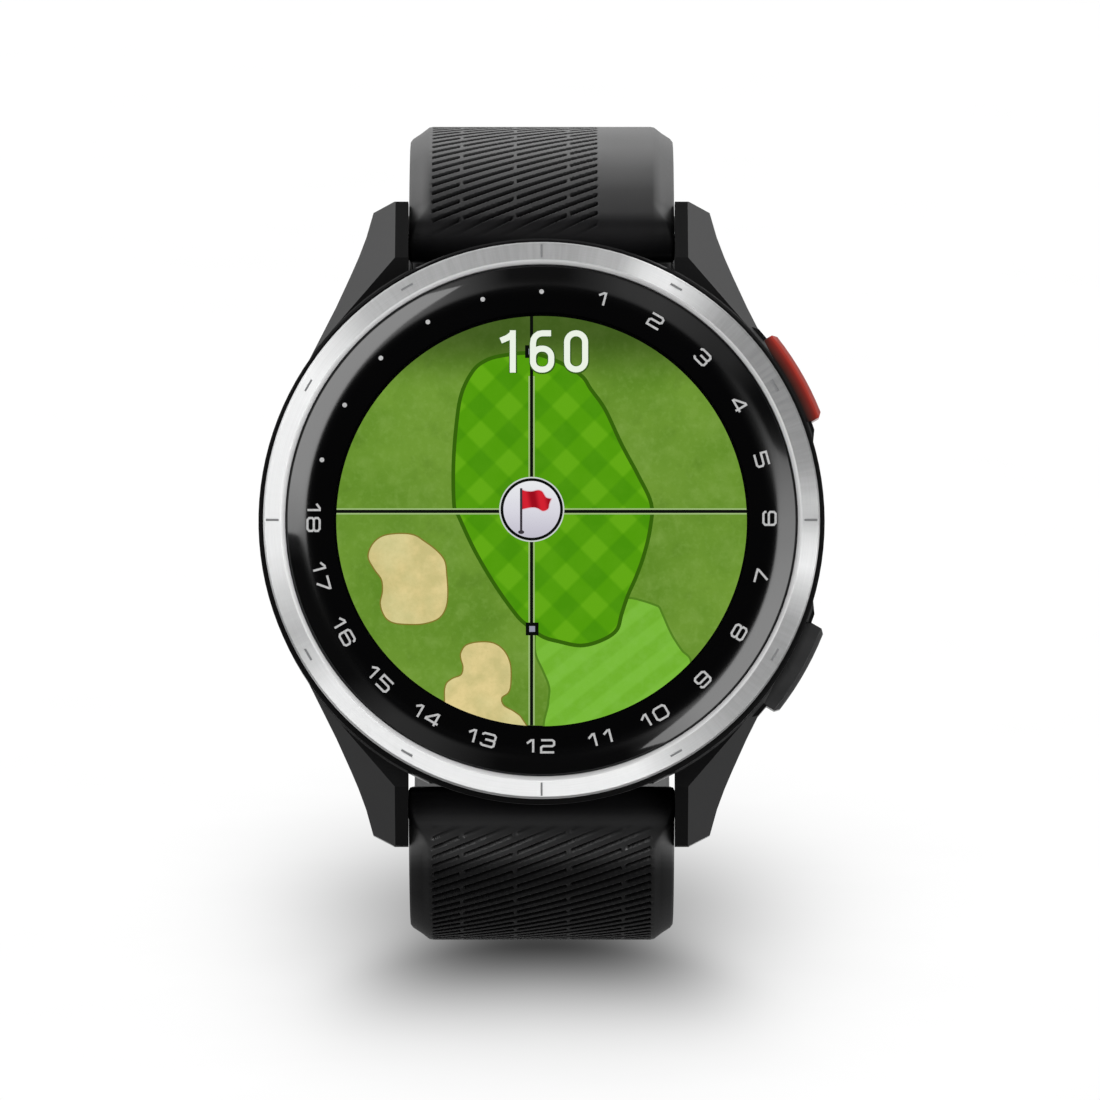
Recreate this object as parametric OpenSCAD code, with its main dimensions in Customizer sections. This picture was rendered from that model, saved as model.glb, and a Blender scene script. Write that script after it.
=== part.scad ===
// Golf GPS watch: round case with a brushed bezel, screen, two push buttons
// and a two piece silicone strap on quick release spring bars.
// Frame: the screen faces -Y, twelve o'clock is +Z, +X is to the wearer's
// right on the screen.  The origin is the centre of the flat rear cover.
// Lengths are millimetres.  Most sub-parts are drawn lying on their back
// (x across, y towards twelve o'clock, z above the rear cover) and stood up
// by the module upright().  Names ending in _y and _z are places in that
// lying frame; _r is a radius, _t a thickness, _w a width.

/* [Case] */
// radius of the case body
case_r = 21.8; // [21.6:0.05:22.0]
// height of the case front rim above the rear face
case_h = 10.3; // [10.2:0.05:10.4]
// clear gap between a pair of lugs
lug_gap = 20.6; // [20.5:0.05:20.8]
// distance of a lug tip from the case centre
lug_tip = 24.9; // [24.6:0.1:25.3]
// radius of the holes for the spring bar tips
lug_hole_r = 0.45; // [0.43:0.01:0.49]

/* [Bezel and glass] */
// outer radius of the metal bezel
bezel_r = 21.4; // [21.1:0.05:21.5]
// inner radius of the metal bezel
bezel_in = 19.7; // [19.68:0.01:19.8]
// height of the bezel above the case rim
bezel_t = 2.1; // [1.9:0.05:2.4]
// depth of the engraved hour marks
mark_d = 0.08; // [0.05:0.01:0.15]
// radius of the glass
lens_r = 19.6; // [19.4:0.05:19.65]
// radius of the flat middle of the glass
lens_flat_r = 17.3; // [16.5:0.1:17.8]

/* [Buttons] */
// angle of each button from three o'clock, degrees
btn_angle = 29.9; // [29.5:0.1:30.3]
// outer radius of the start button cap
start_cap_r = 23.15; // [22.9:0.05:23.4]
// outer radius of the back button cap
back_cap_r = 23.35; // [22.9:0.05:23.5]
// half length of a button cap along the case
cap_l = 3.65; // [3.3:0.05:3.7]
// half height of a button cap
cap_w = 1.7; // [1.5:0.05:1.75]
// radius of a button stem
stem_r = 0.9; // [0.87:0.01:0.92]

/* [Strap] */
// strap width
strap_w = 20.3; // [19.8:0.1:20.3]
// strap thickness
strap_t = 2.6; // [2.4:0.1:2.8]
// width of the bevel along each outer edge
bevel_w = 1.75; // [1.2:0.05:2.2]
// height of the bevel along each outer edge
bevel_h = 1.1; // [0.8:0.05:1.4]
// radius of the rounded strap nose
nose_r = 2.05; // [1.95:0.01:2.1]
// number of adjustment holes
hole_n = 11; // [7:1:12]
// spacing of the adjustment holes
hole_pitch = 5; // [4.6:0.1:5.2]
// radius of an adjustment hole
hole_r = 1.3; // [1.1:0.05:1.5]

/* [Quick release] */
// radius of the thin spring bar tips
tip_r = 0.4; // [0.36:0.01:0.41]
// radius of the spring bar tube
tube_r = 0.85; // [0.8:0.01:0.88]
// radius of the release lever
lever_r = 0.45; // [0.35:0.05:0.5]

/* [Buckle] */
// radius of the buckle bar
bar_r = 0.75; // [0.7:0.01:0.77]
// length from the bar to the outside of the buckle loop
buckle_l = 11.5; // [10.5:0.1:12.5]
// width of the tongue
tang_w = 2.6; // [2.2:0.1:2.8]

/* [Hidden] */
$fn = 96;

// heights of the stack inside the case
bezel_top = case_h + bezel_t;
cover_t = 1.5;
board_z = 7.0;          // rear face of the main board
board_top = 7.8;
cavity_top = 8.6;
display_z = 9.3;        // rear face of the display
lens_gasket_t = 0.2;

// board, screws and charging contacts
board_r = 16.9;
boss_angle = 55;        // the four rear screws sit at this angle
boss_ring_r = 16.2;
boss_clear_r = 2.1;     // cut-outs around the rear screw bosses
frame_screw_angles = [102, 222, 342];
frame_screw_ring_r = 16.0;
port_size = [8.0, 3.6];
port_y = -14.3;         // six o'clock edge of the contact block
contact_n = 4;
contact_pitch = 1.8;
contact_r = 0.5;

// buttons, as distances along the push direction
btn_z = 6.5;            // height of the button axes above the rear face
cap_in = 21.75;         // inner face of a button cap
cap_gap = 0.12;         // clearance of a cap in its window
stem_end = 22.5;
seal_x = 19.4;          // middle of the seal groove
seal_neck_r = 0.65;
clip_groove = [18.0, 18.2];
spring_pocket = 19.9;   // floor of the pocket

// spring bars
spring_bar_z = 3.3;
spring_bar_y = 22.3;
tip_end = 11.2;
tube_end = 8.9;
bar_core_r = 0.6;       // bore of the tube
lever_x = 6.5;

// strap bends; all their centres lie at the same height
bend_z = -15.17;
root_r = 28.17;         // outer radius of the strap next to the case
root_y = 3.83;
apex_y = root_y + root_r;    // furthest point of the strap from the centre
upper_r = 36;           // outer radius of the upper strap
lower_r = 75;           // outer radius of the lower strap
upper_y = apex_y - upper_r;
lower_y = apex_y - lower_r;
bend_lap = 0.8;         // overlap of the bends at the apex, degrees
strap_inset = 0.03;     // keeps the second bend inside the first
buckle_angle = 26.3;    // angle of the buckle bar about the upper bend centre
side_t = 1.9;           // thickness of a side arm of the buckle
side_out = 12.2;        // outer face of a side arm

// ---------------------------------------------------------------- helpers

function polar(radius, angle) = [radius * cos(angle), radius * sin(angle)];

// angle in degrees of an arc of the given length
function arc_angle(length, radius) = length / radius * 180 / PI;

// from lying on the back to standing with the screen towards -Y
module upright() { rotate([90, 0, 0]) children(); }

// a disc or ring about the case axis between two heights
module ring(outer, inner, bottom, top) {
  translate([0, 0, bottom]) difference() {
    cylinder(r = outer, h = top - bottom);
    if (inner > 0) translate([0, 0, -1]) cylinder(r = inner, h = top - bottom + 2);
  }
}

// children at each of the four rear screws
module at_bosses(z) {
  for (side = [-1, 1]) for (end = [-1, 1])
    translate([side * boss_ring_r * cos(boss_angle),
      end * boss_ring_r * sin(boss_angle), z]) children();
}

// children at each of the three frame screws
module at_frame_screws(z) {
  for (angle = frame_screw_angles) rotate([0, 0, angle])
    translate([frame_screw_ring_r, 0, z]) children();
}

// holes through the board or frame for the frame screws and the bosses
module board_cuts(z) {
  at_frame_screws(z) cylinder(r = 0.5, h = 3, $fn = 32);
  at_bosses(z) cylinder(r = boss_clear_r, h = 3, $fn = 48);
}

// row of cylinders at the charging contacts
module contact_row(z, height) {
  for (i = [0 : contact_n - 1])
    translate([(i - (contact_n - 1) / 2) * contact_pitch, port_y + port_size[1] / 2, z])
      cylinder(r = contact_r, h = height, $fn = 32);
}

// cylinder on the spring bar axis between two places across the strap
module spring_bar_rod(radius, from, to, end = 1) {
  translate([from, end * spring_bar_y, spring_bar_z]) rotate([0, 90, 0])
    cylinder(r = radius, h = to - from, $fn = 48);
}

// places children with +X along the push direction of a button, +Y along the
// case edge and +Z towards the screen; side is 1 for start, -1 for back
module at_button(side) {
  rotate([0, 0, side * btn_angle]) translate([0, 0, btn_z]) children();
}

// cylinder along local +X
module push_rod(radius, from, to) {
  translate([from, 0, 0]) rotate([0, 90, 0])
    cylinder(r = radius, h = to - from, $fn = 48);
}

// closed wire coil along +Z
module coil(radius, wire, length, turns, steps, sides) {
  last = turns * steps;
  rise = (length - 2 * wire) / last;
  points = [for (i = [0 : last]) for (j = [0 : sides - 1])
    let (turn = 360 * i / steps, around = 360 * j / sides,
         reach = radius + wire * cos(around))
    [reach * cos(turn), reach * sin(turn), wire + i * rise + wire * sin(around)]];
  skin = [for (i = [0 : last - 1]) for (j = [0 : sides - 1])
    let (k = (j + 1) % sides)
    [i * sides + j, (i + 1) * sides + j, (i + 1) * sides + k, i * sides + k]];
  start_cap = [[for (j = [0 : sides - 1]) j]];
  end_cap = [[for (j = [0 : sides - 1]) last * sides + sides - 1 - j]];
  polyhedron(points = points, faces = concat(start_cap, skin, end_cap), convexity = 8);
}

// polar frame about a bend centre at centre_y: local +X is radial, +Z across;
// angle 90 is towards twelve o'clock, angle 0 towards the rear
module on_bend(centre_y, angle) {
  translate([0, centre_y, bend_z]) rotate([0, 90, 0]) rotate([0, 0, angle]) children();
}

// revolves a profile (radius, across) about a bend centre
module bend(centre_y, start, span) {
  on_bend(centre_y, start) rotate_extrude(angle = span, $fn = 180) children();
}

// strap cross section with its outer face at outer, all drawn in by inset
module strap_section(outer, inset = 0) {
  edge = 0.35;    // chamfer of the inner edges
  half_w = strap_w / 2 - inset;
  face_in = outer - strap_t + inset;
  face_out = outer - inset;
  polygon([[face_in, -half_w + edge], [face_in + edge, -half_w],
    [face_out - bevel_h, -half_w], [face_out, -half_w + bevel_w],
    [face_out, half_w - bevel_w], [face_out - bevel_h, half_w],
    [face_in + edge, half_w], [face_in, half_w - edge]]);
}

// ---------------------------------------------------------------- the case

// lug on the +X side towards twelve o'clock
module lug_solid() {
  bottom = 1.0;
  top = 9.0;
  end_slope = 0.689;        // fall of the end face per unit of y
  end_start_y = 20.4;       // where the end face leaves the top
  facet_tilt = acos(0.68704);
  facet_turn = atan2(1, 1.156);
  facet_distance = 22.094;  // from the origin
  rear_rise = 9.3;          // degrees
  rear_distance = 2.24;
  // plan (x, y)
  outline = [[lug_gap / 2, 14], [lug_gap / 2, lug_tip], [11.38, lug_tip],
    [13.0, lug_tip - 0.84], [13.54, 22.1], [14.13, 20.5], [14.77, 19.0],
    [15.88, 16.54], [17.99, 12.32], [15, 9]];
  difference() {
    translate([0, 0, bottom]) linear_extrude(height = top - bottom) polygon(outline);
    // sloping end face
    rotate([-atan(end_slope), 0, 0])
      translate([-40, -40, (top + end_start_y * end_slope) * cos(atan(end_slope))])
      cube([80, 80, 40]);
    // outer facet
    rotate([0, facet_tilt, facet_turn])
      translate([-60, -60, facet_distance]) cube([120, 120, 60]);
    // rear face rises towards the tip
    rotate([rear_rise, 0, 0])
      translate([-40, -5, -rear_distance - 40]) cube([80, 60, 40]);
  }
}

// plan of a low rib beside a button window; the angles are counted from the
// button: steep face, end of the level crest, run-out into the case
module guard(side, steep, level, run_out, crest_r) {
  root = 20.5;
  foot = 21.75;
  start = side * (btn_angle + steep);
  crest_end = side * (btn_angle + level);
  end = side * (btn_angle + run_out);
  polygon([polar(root, start), polar(crest_r, start), polar(crest_r, crest_end),
    polar(foot, end), polar(root, end)]);
}

module button_cuts(side) {
  half_l = cap_l + cap_gap;
  half_w = cap_w + cap_gap;
  at_button(side) {
    // window for the cap
    difference() {
      translate([20, -half_l, -half_w]) cube([6, 2 * half_l, 2 * half_w]);
      translate([0, 0, -5]) cylinder(r = cap_in - 0.7, h = 10);
    }
    // stem bore
    push_rod(stem_r + 0.05, 17, 24);
    // spring pocket
    push_rod(1.6, spring_pocket, 24);
  }
}

module case_housing() {
  rim_chamfer = 0.15;
  cavity_z = 1.55;
  ledge_z = 1.5;
  color([0.10, 0.10, 0.105])
  upright() difference() {
    union() {
      // body with a tapered rear edge
      rotate_extrude($fn = 180) polygon([[0, 0.2], [18.9, 0.2], [19.6, 0.5],
        [case_r, 2.2], [case_r, case_h - rim_chamfer],
        [case_r - rim_chamfer, case_h], [0, case_h]]);
      for (mirror_x = [0, 1]) for (mirror_y = [0, 1])
        mirror([mirror_x, 0, 0]) mirror([0, mirror_y, 0]) lug_solid();
      // low guards at the ends of both button windows
      for (side = [-1, 1]) translate([0, 0, 4.2]) linear_extrude(height = 4.6) {
        guard(side, steep = 9.3, level = 11.8, run_out = 14.5, crest_r = 22.4);
        guard(side, steep = -9.3, level = -11.2, run_out = -14.0, crest_r = 22.2);
      }
    }
    // flat end walls between the lugs
    for (end = [-1, 1])
      translate([-lug_gap / 2, end > 0 ? 20 : -30, -1]) cube([lug_gap, 10, 9.6]);
    // display seat and the opening behind it
    ring(17.6, 0, display_z, 20);
    ring(15.4, 0, 5, 20);
    // cavity, less the rear ledge and the four screw bosses
    difference() {
      ring(18.6, 0, cavity_z, cavity_top);
      ring(19, 17.0, ledge_z, 2.6);
      at_bosses(ledge_z) cylinder(r = 1.8, h = 4.1, $fn = 48);
    }
    // rear opening
    ring(18.3, 0, -1, cavity_z);
    // seal groove in the ledge
    ring(17.85, 17.2, 1, 2.0);
    // rear screw holes
    at_bosses(1) cylinder(r = 0.52, h = 4.2, $fn = 32);
    // blind holes for the frame screws
    at_frame_screws(8) cylinder(r = 0.46, h = 1.15, $fn = 32);
    // blind holes for the spring bar tips
    for (end = [-1, 1])
      spring_bar_rod(lug_hole_r, -tip_end - 0.15, tip_end + 0.15, end);
    button_cuts(1);
    button_cuts(-1);
  }
}

module bezel() {
  outer_chamfer = 0.12;
  mark_l = 1.0;
  mark_w = 0.15;
  mark_start = bezel_in + 0.5;
  mark_z = bezel_top - mark_d;
  color([0.74, 0.75, 0.76])
  upright() difference() {
    rotate_extrude($fn = 180) polygon([[bezel_in, case_h], [bezel_r, case_h],
      [bezel_r, bezel_top - outer_chamfer], [bezel_r - outer_chamfer, bezel_top],
      [bezel_in + 0.35, bezel_top], [bezel_in, bezel_top - 0.2]]);
    // radial marks at the quarters, marks along the edge at the other hours
    for (i = [0 : 11]) rotate([0, 0, 30 * i])
      if (i % 3 == 0)
        translate([mark_start, -mark_w / 2, mark_z]) cube([mark_l, mark_w, 1]);
      else
        translate([mark_start + (mark_l - mark_w) / 2, -mark_l / 2, mark_z])
          cube([mark_w, mark_l, 1]);
  }
}

module lens() {
  bottom = case_h + lens_gasket_t;
  edge_drop = 0.42;
  rim_r = lens_r - 0.1;
  color([0.75, 0.85, 0.88, 0.35])
  upright() rotate_extrude($fn = 180)
    polygon(concat([[0, bottom], [lens_r, bottom], [lens_r, bezel_top - 0.6]],
      // curved shoulder from the rim to the flat middle
      [for (i = [0 : 9]) let (t = i / 9)
        [rim_r - (rim_r - lens_flat_r) * t, bezel_top - edge_drop * (1 - t) * (1 - t)]],
      [[0, bezel_top]]));
}

module lens_gasket() {
  color([0.03, 0.03, 0.03])
  upright() ring(19.5, 18.6, case_h, case_h + lens_gasket_t);
}

module display_panel() {
  color([0.06, 0.07, 0.08])
  upright() ring(17.3, 0, display_z, case_h);
}

module display_flex() {
  color([0.55, 0.33, 0.10])
  upright() {
    // upright ribbon
    translate([-3, -9.2, board_top]) cube([6, 0.2, display_z - board_top]);
    // block on the board
    translate([-3.4, -9.0, board_top]) cube([6.8, 1.6, 0.55]);
  }
}

module inner_frame() {
  color([0.16, 0.16, 0.17])
  upright() difference() {
    ring(board_r, 10.2, board_top, cavity_top);
    board_cuts(7);
  }
}

module frame_screws() {
  slot_l = 1.2;
  slot_w = 0.2;
  color([0.70, 0.71, 0.72])
  upright() at_frame_screws(0) difference() {
    union() {
      translate([0, 0, board_z - 0.5]) cylinder(r = 0.85, h = 0.5, $fn = 32);
      translate([0, 0, 6.9]) cylinder(r = 0.44, h = 2.15, $fn = 32);
    }
    // cross slot
    translate([-slot_l / 2, -slot_w / 2, 6.4]) cube([slot_l, slot_w, 0.3]);
    translate([-slot_w / 2, -slot_l / 2, 6.4]) cube([slot_w, slot_l, 0.3]);
  }
}

module main_board() {
  color([0.06, 0.26, 0.14])
  upright() difference() {
    ring(board_r, 0, board_z, board_top);
    board_cuts(6);
  }
}

// lid, open towards the board
module shield_can() {
  size = [14.4, 12.2, 1.2];
  wall = 0.2;
  color([0.76, 0.76, 0.78])
  upright() translate([-7.2, -5.0, board_top]) difference() {
    cube(size);
    translate([wall, wall, -1])
      cube([size[0] - 2 * wall, size[1] - 2 * wall, size[2] - wall + 1]);
  }
}

module board_chips() {
  // corner, size; the last two are on the rear of the board
  chips = [
    [[-5.6, -3.4, board_top], [5.0, 5.0, 0.8]],
    [[1.0, -3.0, board_top], [4.0, 4.0, 0.8]],
    [[-4.0, 2.8, board_top], [6.5, 3.0, 0.8]],
    [[-9.5, -2.5, board_z - 0.9], [4.0, 5.0, 0.9]],
    [[4.5, -4.0, board_z - 0.8], [3.0, 3.0, 0.8]]];
  color([0.09, 0.09, 0.10])
  upright() for (chip = chips) translate(chip[0]) cube(chip[1]);
}

// curved strip centred on twelve o'clock
module gps_antenna() {
  span = 44;
  color([0.72, 0.52, 0.25])
  upright() rotate([0, 0, 90 - span / 2]) rotate_extrude(angle = span, $fn = 180)
    translate([18.2, 3.0]) square([0.35, 4.9]);
}

battery_size = [24, 18.2, 3.2];
battery_z = 1.9;

module battery() {
  corner = 1.0;   // step at the upright edges
  step = 0.2;     // step at the front and rear faces
  color([0.78, 0.79, 0.80])
  upright() translate([-battery_size[0] / 2, -9.4, battery_z]) union() {
    translate([0, corner, 0]) cube(battery_size - [0, 2 * corner, 0]);
    translate([corner, 0, step]) cube(battery_size - [2 * corner, 0, 2 * step]);
  }
}

module battery_lead() {
  battery_top = battery_z + battery_size[2];
  color([0.75, 0.12, 0.10])
  upright() for (side = [-1, 1])
    translate([-8.5 + side * 0.8, 7.0, battery_top])
      cylinder(r = 0.35, h = board_z - battery_top, $fn = 24);
}

module vibration_motor() {
  color([0.66, 0.67, 0.69])
  upright() translate([0, 13.1, 2.9]) union() {
    cylinder(r = 3.6, h = 2.6, $fn = 64);
    translate([-1.2, 0, 2.5]) cube([2.4, 3.0, 1.6]);
  }
}

module rear_cover() {
  cover_r = 18.2;
  recess_rim = 0.6;   // margin of the plug recess around the contact block
  color([0.13, 0.13, 0.135])
  upright() difference() {
    rotate_extrude($fn = 180) polygon([[0, 0], [cover_r - 0.5, 0],
      [cover_r, 0.35], [cover_r, cover_t], [0, cover_t]]);
    // counterbored screw holes
    at_bosses(-1) {
      cylinder(r = 1.3, h = 1.9, $fn = 48);
      cylinder(r = 0.6, h = 4, $fn = 32);
    }
    // plug recess and opening for the contact block
    translate([-port_size[0] / 2 - recess_rim, port_y - recess_rim, -1])
      cube([port_size[0] + 2 * recess_rim, port_size[1] + 2 * recess_rim, 1.6]);
    translate([-port_size[0] / 2, port_y, -1]) cube([port_size[0], port_size[1], 4]);
    // key notch of the plug
    translate([-1.1, -15.3, -1]) cube([2.2, 0.6, 1.6]);
  }
}

module rear_gasket() {
  color([0.30, 0.06, 0.05])
  upright() ring(17.8, 17.25, cover_t, 1.95);
}

module rear_screws() {
  color([0.68, 0.69, 0.70])
  upright() at_bosses(0) difference() {
    union() {
      translate([0, 0, 0.15]) cylinder(r = 1.2, h = 0.75, $fn = 48);
      translate([0, 0, 0.85]) cylinder(r = 0.5, h = 4.1, $fn = 32);
    }
    // hexagon socket
    translate([0, 0, -0.5]) linear_extrude(height = 1.05) circle(r = 0.55, $fn = 6);
  }
}

module charge_port() {
  color([0.05, 0.05, 0.055])
  upright() difference() {
    translate([-port_size[0] / 2, port_y, 0.6]) cube([port_size[0], port_size[1], 2.2]);
    contact_row(z = 0, height = 4);
  }
}

module charge_contacts() {
  color([0.85, 0.68, 0.30])
  upright() contact_row(z = 0.45, height = 2.9);
}

module side_switch(side) {
  color([0.10, 0.10, 0.11])
  upright() at_button(side) {
    // body and plunger
    translate([15.5, -1.6, -1.1]) cube([1.35, 3.2, 1.6]);
    translate([16.8, -0.6, -0.5]) cube([0.35, 1.2, 1.0]);
  }
}
module start_switch() { side_switch(1); }
module back_switch() { side_switch(-1); }

// ---------------------------------------------------------------- buttons

module button_cap(side, outer) {
  chamfer = 0.3;
  upright() at_button(side) difference() {
    intersection() {
      rotate_extrude($fn = 180) polygon([[cap_in, -cap_w],
        [outer - chamfer, -cap_w], [outer, -cap_w + chamfer],
        [outer, cap_w - chamfer], [outer - chamfer, cap_w], [cap_in, cap_w]]);
      translate([18, -cap_l, -3]) cube([6, 2 * cap_l, 6]);
      // slightly turned in ends
      cap_end_limit(-45, outer);
      cap_end_limit(45, outer);
    }
    push_rod(stem_r, 20, stem_end);
  }
}

// block that bevels one end of a cap
module cap_end_limit(angle, outer) {
  rotate([0, 0, angle]) translate([-60, -60, -3])
    cube([60 + (outer + cap_l - 0.55) * cos(45), 120, 6]);
}
module start_button_cap() { color([0.72, 0.16, 0.10]) button_cap(1, start_cap_r); }
module back_button_cap() { color([0.09, 0.09, 0.095]) button_cap(-1, back_cap_r); }

// cutter that leaves a neck between two places on the stem
module stem_groove(from, to, neck_r) {
  difference() {
    push_rod(2, from, to);
    push_rod(neck_r, from - 1, to + 1);
  }
}

module button_stem(side) {
  color([0.70, 0.71, 0.72])
  upright() at_button(side) difference() {
    push_rod(stem_r, 17.8, stem_end);
    stem_groove(seal_x - 0.16, seal_x + 0.16, seal_neck_r);
    stem_groove(clip_groove[0], clip_groove[1], 0.6);
  }
}
module start_button_stem() { button_stem(1); }
module back_button_stem() { button_stem(-1); }

module button_seal(side) {
  color([0.04, 0.04, 0.04])
  upright() at_button(side)
    translate([seal_x, 0, 0]) rotate([0, 90, 0])
    rotate_extrude($fn = 48) translate([seal_neck_r + 0.14, 0])
    circle(r = 0.135, $fn = 24);
}
module start_button_seal() { button_seal(1); }
module back_button_seal() { button_seal(-1); }

module button_clip(side) {
  color([0.62, 0.63, 0.64])
  upright() at_button(side) difference() {
    push_rod(1.5, clip_groove[0] + 0.01, clip_groove[1] - 0.01);
    push_rod(0.61, 17, 19);
    // open side towards the rear
    translate([17, -0.5, -3]) cube([3, 1.0, 3]);
  }
}
module start_button_clip() { button_clip(1); }
module back_button_clip() { button_clip(-1); }

module button_spring(side) {
  color([0.72, 0.73, 0.74])
  upright() at_button(side)
    translate([spring_pocket + 0.02, 0, 0]) rotate([0, 90, 0])
    coil(radius = 1.25, wire = 0.13, length = 1.77, turns = 3, steps = 16, sides = 5);
}
module start_button_spring() { button_spring(1); }
module back_button_spring() { button_spring(-1); }

// ---------------------------------------------------------------- strap

// nose, root and first bend, shared by both straps, drawn for twelve o'clock
module strap_root() {
  half_w = strap_w / 2;
  chamfer = 0.3;
  side_inset = 0.02;
  // nose with small edge chamfers
  translate([-half_w, spring_bar_y, spring_bar_z]) rotate([0, 90, 0])
    rotate_extrude($fn = 96) polygon([[0, 0], [nose_r - chamfer, 0],
      [nose_r, chamfer], [nose_r, strap_w - chamfer],
      [nose_r - chamfer, strap_w], [0, strap_w]]);
  // thickening on the wrist side; the outline is in (z, y) and its bend
  // angles are counted from twelve o'clock towards the screen
  nose_tangent = nose_r * cos(45);
  middle_r = root_r - strap_t / 2;
  foot_angle = 24.713;
  bend_centre = [bend_z, root_y];
  foot = [sin(foot_angle), cos(foot_angle)];
  translate([-half_w + side_inset, 0, 0]) rotate([0, -90, 0]) mirror([0, 0, 1])
    linear_extrude(height = strap_w - 2 * side_inset)
    polygon([[spring_bar_z - nose_tangent, spring_bar_y - nose_tangent],
      bend_centre + (root_r - strap_t) * foot,
      bend_centre + middle_r * foot,
      bend_centre + middle_r * [sin(45), cos(45)]]);
  bend(root_y, 90, 45) strap_section(root_r);
}

// second bend, from the start angle to just past the apex
module strap_bend(centre_y, outer, start) {
  bend(centre_y, start, 90 + bend_lap - start) strap_section(outer, strap_inset);
}

// spring bar bore and the slot of the release lever
module strap_bores() {
  spring_bar_rod(0.92, -15, 15);
  translate([4.55, spring_bar_y - 0.6, spring_bar_z - 6]) cube([2.6, 1.2, 6]);
}

// frame of the buckle bar: +X away from the wrist, -Y away from the strap,
// Z across
module at_bar() {
  on_bend(upper_y, buckle_angle) translate([upper_r - strap_t / 2, 0, 0]) children();
}

module strap_upper() {
  eye_inset = 0.3;
  slot_w = tang_w + 0.6;
  color([0.12, 0.12, 0.125])
  upright() difference() {
    union() {
      strap_root();
      strap_bend(upper_y, upper_r, buckle_angle + bend_lap);
      // eye around the buckle bar
      at_bar() translate([0, 0, -strap_w / 2 + eye_inset])
        cylinder(r = 2.0, h = strap_w - 2 * eye_inset, $fn = 64);
    }
    strap_bores();
    at_bar() translate([0, 0, -20]) cylinder(r = bar_r, h = 40, $fn = 48);
    // slot for the tongue
    at_bar() translate([-5, -5, -slot_w / 2]) cube([10, 8.5, slot_w]);
  }
}

module strap_lower() {
  tail_angle = 90 - arc_angle(70, lower_r);
  first_hole = tail_angle - 1;
  color([0.12, 0.12, 0.125])
  upright() mirror([0, 1, 0]) difference() {
    union() {
      strap_root();
      strap_bend(lower_y, lower_r, tail_angle - 8.4);
    }
    strap_bores();
    // rounded tail
    on_bend(lower_y, tail_angle) difference() {
      translate([55, -20, -15]) cube([30, 18, 30]);
      translate([50, 1, 0]) rotate([0, 90, 0])
        cylinder(r = strap_w / 2 + 1, h = 40, $fn = 96);
    }
    // adjustment holes
    for (i = [0 : hole_n - 1])
      on_bend(lower_y, first_hole + arc_angle(i * hole_pitch, lower_r))
        rotate([0, 90, 0]) translate([0, 0, 60])
        cylinder(r = hole_r, h = 30, $fn = 40);
  }
}

module spring_bar_tube_upper() {
  color([0.68, 0.69, 0.71])
  upright() difference() {
    spring_bar_rod(tube_r, -tube_end, tube_end);
    spring_bar_rod(bar_core_r, -10, 10);
    // slot of the release lever
    translate([4.65, spring_bar_y - 0.5, spring_bar_z - 2]) cube([2.4, 1.0, 2]);
  }
}

module spring_bar_tip_upper() {
  color([0.68, 0.69, 0.71])
  upright() union() {
    spring_bar_rod(tip_r, -tip_end, -8.0);
    spring_bar_rod(bar_core_r, -tube_end, -7.6);
  }
}

module spring_bar_spring_upper() {
  color([0.62, 0.63, 0.65])
  upright() translate([-7.58, spring_bar_y, spring_bar_z]) rotate([0, 90, 0])
    coil(radius = 0.42, wire = 0.10, length = 10.5, turns = 9, steps = 12, sides = 5);
}

module release_pin_upper() {
  lever_z = -0.9;
  chamfer_h = 0.3;
  color([0.68, 0.69, 0.71])
  upright() union() {
    spring_bar_rod(0.56, 3.0, 8.8);
    spring_bar_rod(tip_r, 8.7, tip_end);
    // lever with a tapered rear end
    translate([lever_x, spring_bar_y, lever_z])
      cylinder(r = lever_r, h = spring_bar_z - lever_z, $fn = 40);
    translate([lever_x, spring_bar_y, lever_z - chamfer_h])
      cylinder(r1 = lever_r - 0.1, r2 = lever_r, h = chamfer_h, $fn = 40);
  }
}

module spring_bar_tube_lower() { mirror([0, 0, 1]) spring_bar_tube_upper(); }
module spring_bar_tip_lower() { mirror([0, 0, 1]) spring_bar_tip_upper(); }
module spring_bar_spring_lower() { mirror([0, 0, 1]) spring_bar_spring_upper(); }
module release_pin_lower() { mirror([0, 0, 1]) release_pin_upper(); }

// loop around the strap, centred on an angle of the upper bend
module keeper(angle, clearance) {
  span = 8;
  wall = 1.2;
  chamfer_in = 0.5;
  chamfer_out = 0.8;
  half_w = strap_w / 2 + clearance;
  inner = upper_r - strap_t - clearance;
  outer = upper_r + 3.1;
  low = inner - wall;
  high = outer + wall;
  edge = half_w + wall;
  upright() bend(upper_y, angle - span / 2, span) difference() {
    polygon([[low, -edge + chamfer_in], [low + chamfer_in, -edge],
      [high - chamfer_out, -edge], [high, -edge + chamfer_out],
      [high, edge - chamfer_out], [high - chamfer_out, edge],
      [low + chamfer_in, edge], [low, edge - chamfer_in]]);
    translate([inner, -half_w]) square([outer - inner, 2 * half_w]);
  }
}
module fixed_keeper() { color([0.12, 0.12, 0.125]) keeper(angle = 36.2, clearance = 0); }
module sliding_keeper() { color([0.12, 0.12, 0.125]) keeper(angle = 46, clearance = 0.15); }

// ---------------------------------------------------------------- buckle

// cylinder across the loop end of the buckle
module loop_end(radius, half_l) {
  translate([-0.3, -buckle_l + 1.3, -half_l])
    cylinder(r = radius, h = 2 * half_l, $fn = 48);
}

module buckle_bar() {
  half_l = 11.6;
  color([0.68, 0.69, 0.71])
  upright() at_bar() translate([0, 0, -half_l])
    cylinder(r = bar_r, h = 2 * half_l, $fn = 48);
}

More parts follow.
